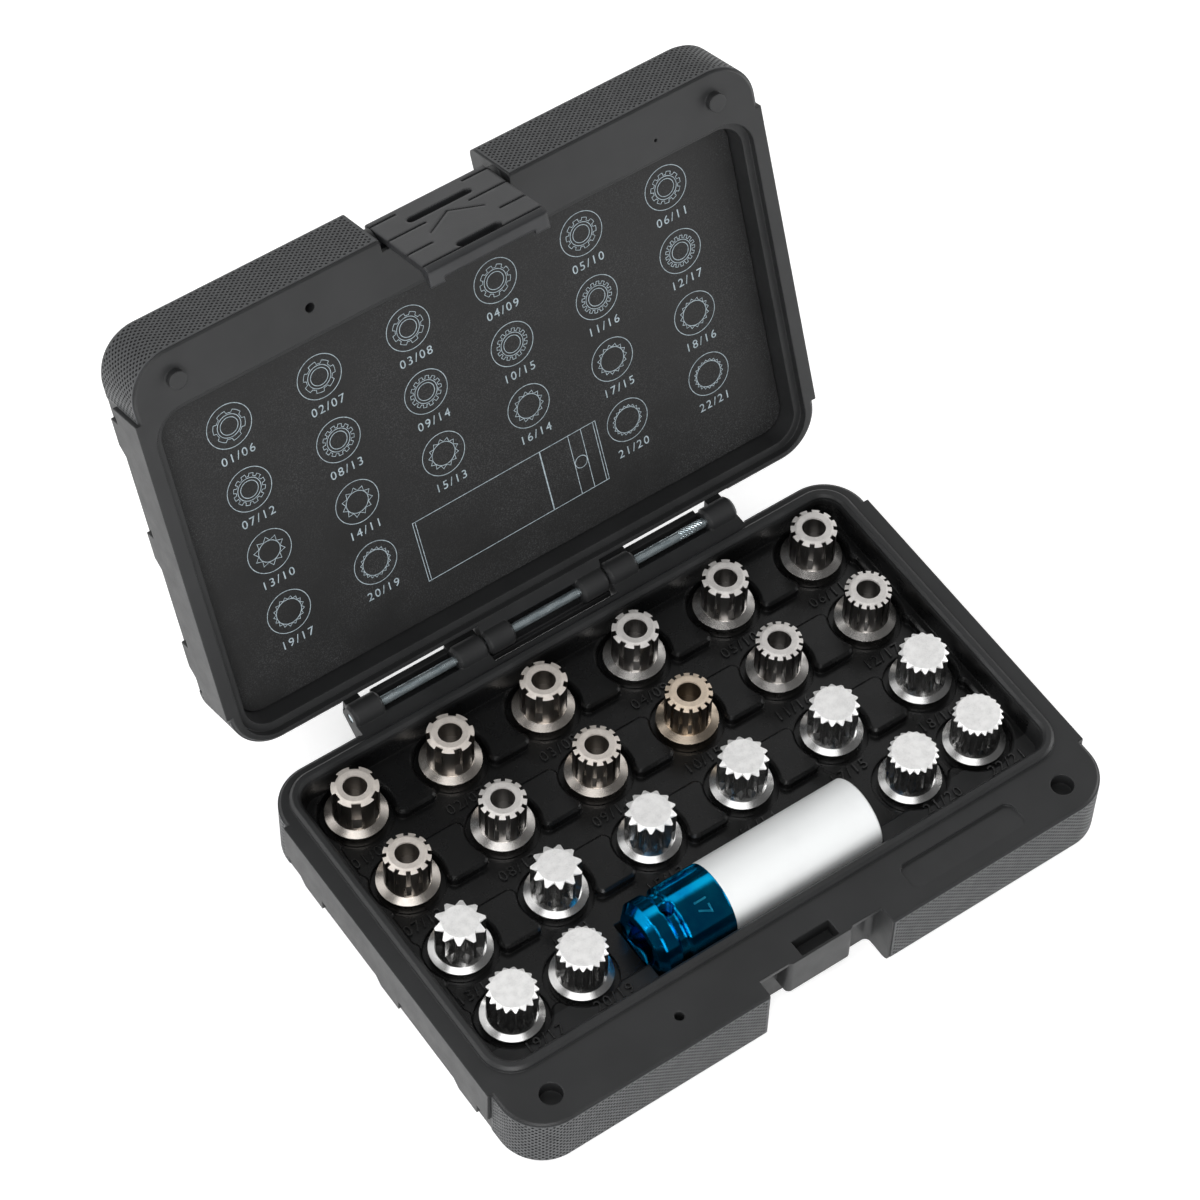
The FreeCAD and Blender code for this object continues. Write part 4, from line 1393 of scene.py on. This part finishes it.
@dataclass
class Studio:
    """A pale floor, soft light and the camera at the photograph's angle."""

    azimuth: float = math.radians(-36.234)
    elevation: float = math.radians(54.917)
    roll: float = math.radians(1.789)
    distance: float = 1.354955
    aim: Point = (0.0, 74.44 * MM, 25.0 * MM)
    slide: tuple[float, float] = (13.653 * MM, 9.054 * MM)
    lens: float = 124.7555
    sensor: float = 36.0
    floor_size: float = 6.0
    floor_gap: float = 0.2 * MM
    surround: tuple[float, float] = (0.29, 0.62)
    dim_room: float = 0.1
    backdrop_start: tuple[float, float] = (0.0, 0.25)
    backdrop_top: tuple[float, float] = (0.82, 0.90)
    lamp_aim: Point = (0.0, 30.0 * MM, 30.0 * MM)
    floor_glow: tuple[float, float] = (0.1, 0.52)
    near: float = 0.05
    lamps: tuple[Lamp, ...] = (
        Lamp("softbox_above", (-0.35, -0.35, 1.15), 0.8, 4.0),
        Lamp("softbox_front", (-0.75, -1.1, 0.55), 0.9, 14.2),
        Lamp("softbox_right", (1.1, -0.4, 0.32), 0.6, 5.5),
        Lamp("softbox_left", (-1.2, 0.5, 0.9), 0.7, 6.0),
    )

    def camera(self) -> None:
        """Sets the camera where the photograph was taken from."""
        back = Vector((
            math.sin(self.azimuth) * math.cos(self.elevation),
            -math.cos(self.azimuth) * math.cos(self.elevation),
            math.sin(self.elevation),
        ))
        level = (-back).cross(Vector((0, 0, 1))).normalized()
        upright = level.cross(-back)
        right = math.cos(self.roll) * level + math.sin(self.roll) * upright
        up = math.cos(self.roll) * upright - math.sin(self.roll) * level
        place_at = Vector(self.aim) + back * self.distance + right * self.slide[0] + up * self.slide[1]
        data = bpy.data.cameras.new("camera")
        data.lens = self.lens
        data.sensor_width = self.sensor
        data.clip_start = self.near
        camera = bpy.data.objects.new("camera", data)
        bpy.context.scene.collection.objects.link(camera)
        columns = [(*axis, 0.0) for axis in (right, up, back)] + [(*place_at, 1.0)]
        camera.matrix_world = Matrix(columns).transposed()
        bpy.context.scene.camera = camera

    def hang(self, lamp: Lamp) -> None:
        """Adds one lamp that faces the case.

        Args:
            lamp: The lamp.
        """
        data = bpy.data.lights.new(lamp.name, "AREA")
        data.size = lamp.size
        data.energy = lamp.power
        light = bpy.data.objects.new(lamp.name, data)
        light.location = lamp.spot
        light.rotation_euler = (Vector(self.lamp_aim) - Vector(lamp.spot)).to_track_quat("-Z", "Y").to_euler()
        bpy.context.scene.collection.objects.link(light)

    def world(self) -> None:
        """Gives a white surround where it is seen, and in metal a white backdrop behind a dim room."""
        world = bpy.data.worlds.new("studio")
        world.use_nodes = True
        bpy.context.scene.world = world
        graph = Graph.of_tree(world.node_tree)
        path = graph.node("LightPath").outputs
        _, along, up = graph.axes(graph.node("TexCoord").outputs["Generated"])
        behind = graph.span(along, *self.backdrop_start)
        below = graph.span(up, *self.backdrop_top, 1.0, 0.0)
        backdrop = graph.math("MULTIPLY", behind, below)
        room = graph.span(backdrop, 0.0, 1.0, self.dim_room, 1.0)
        seen = graph.math("MAXIMUM", path["Is Camera Ray"], path["Is Transmission Ray"])
        level = graph.blend(path["Is Glossy Ray"], graph.span(backdrop, 0.0, 1.0, *self.surround), room)
        ground = world.node_tree.nodes["Background"]
        ground.inputs["Color"].default_value = (1.0, 1.0, 1.0, 1.0)
        graph.feed(ground.inputs["Strength"], graph.blend(seen, level, 1.0))

    def floor(self) -> None:
        """Lays a white floor that keeps the case's shadow."""
        floor = add_mesh("plane", size=self.floor_size, location=(0, 0, -self.floor_gap))
        floor.name = "floor"
        graph = Graph("floor_white")
        shade = graph.noise(graph.place(), 3.0, 2.0)
        path = graph.node("LightPath").outputs
        seen = graph.math("MAXIMUM", path["Is Camera Ray"], path["Is Glossy Ray"])
        seen = graph.math("MAXIMUM", seen, path["Is Transmission Ray"])
        graph.set(Base_Color=graph.mix(shade, (0.9, 0.9, 0.9), (0.92, 0.92, 0.92)), Roughness=0.9,
                  Emission_Color=(1.0, 1.0, 1.0, 1.0), Emission_Strength=graph.span(seen, 0.0, 1.0, *self.floor_glow))
        floor.data.materials.append(graph.material)

    def build(self) -> None:
        """Sets up the whole studio."""
        self.floor()
        self.world()
        for lamp in self.lamps:
            self.hang(lamp)
        self.camera()
        bpy.context.scene.view_settings.view_transform = "Standard"


def dress(node: bpy.types.Object, material: bpy.types.Material) -> None:
    """Gives a node of the frame its finish.

    Args:
        node: The node.
        material: The finish.
    """
    for slot in node.material_slots:
        slot.material = material
    LOG.info("%s wears %s", node.name, material.name)


def dress_frame(nodes: dict[str, bpy.types.Object], rows: list[list[KeyPlace]]) -> dict[str, bpy.types.Material]:
    """Dresses every node of the frame.

    Args:
        nodes: The frame's nodes by name.
        rows: The keys, row by row.

    Returns:
        The finishes that new pieces share, by name, and each key's by its node.
    """
    shared = {
        "pin": PlatedPin().build(),
        "etched": BlueMetal("etched_blue", (0.02, 0.30, 0.50), (0.04, 0.42, 0.62), 0.35).build(),
        "ink": PrintInk().build(),
        "knurl": KnurledPlastic().build(),
        "lid": CasePlastic("lid_plastic").build(),
        # painted shade: the raised figures take the darkened colour of the tray's painted shade
        "figures": CasePlastic("raised_figures_painted_shade", (0.006, 0.0062, 0.0064), (0.009, 0.0092, 0.0095),
                               (0.16, 0.24), 0.6, soft_edge=0.2 * MM).build(),
    }
    latch = CasePlastic("latch_plastic", (0.019, 0.0196, 0.021), (0.026, 0.0267, 0.0285), (0.30, 0.38), 0.5,
                        soft_edge=1.5 * MM)
    dress(nodes["base_case"], CasePlastic(glossy_tray_painted_shade=True).build())
    dress(nodes["lid_case"], shared["lid"])
    dress(nodes["lid_card"], SpeckledCard().build())
    dress(nodes["latch"], latch.build())
    dress(nodes["hinge_pin"], shared["pin"])
    dress(nodes["latch_pin"], shared["pin"])
    dress(nodes["socket_body"], BlueMetal().build())
    dress(nodes["socket_sleeve"], WhitePlastic().build())
    finishes: dict[tuple[KeyKind, Tint], bpy.types.Material] = {}
    for key in chain.from_iterable(rows):
        look = (key.kind, key.tint)
        if look not in finishes:
            name = f"{key.kind.value}_{key.tint.name.lower()}"
            # the barrel levels here are painted shade, and ring keys get shade painted into their bores
            steel = (
                KeySteel(name, key.tint, end=0.76, barrel_painted_shade=0.22, barrel_rough=0.27, painted_bore_shade=True, lead=RING_LEAD)
                if key.kind is KeyKind.RING
                else KeySteel(name, key.tint, end=1.0, barrel_painted_shade=0.42, barrel_rough=0.22)
            )
            finishes[look] = steel.build()
        dress(nodes[key.node], finishes[look])
        shared[key.node] = finishes[look]
    return shared


def main() -> None:
    """Builds the scene around the frame."""
    logging.basicConfig(level=logging.INFO, format="%(name)s: %(message)s")
    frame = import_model()
    rows = key_places()
    finishes = dress_frame(frame["nodes"], rows)
    for key in chain.from_iterable(rows):
        KeyCrown.of_key(key).build(finishes[key.node])
    Studio().build()
    Hinge().build(finishes["pin"], finishes["lid"])
    CardPrint().build(rows, finishes["ink"])
    TrayFigures().build(rows, finishes["figures"])
    SocketMark().build(frame["nodes"]["socket_body"], finishes["etched"])
    for half in Half:
        KnurledSkin(half).build(finishes["knurl"])


if __name__ == "__main__":
    main()
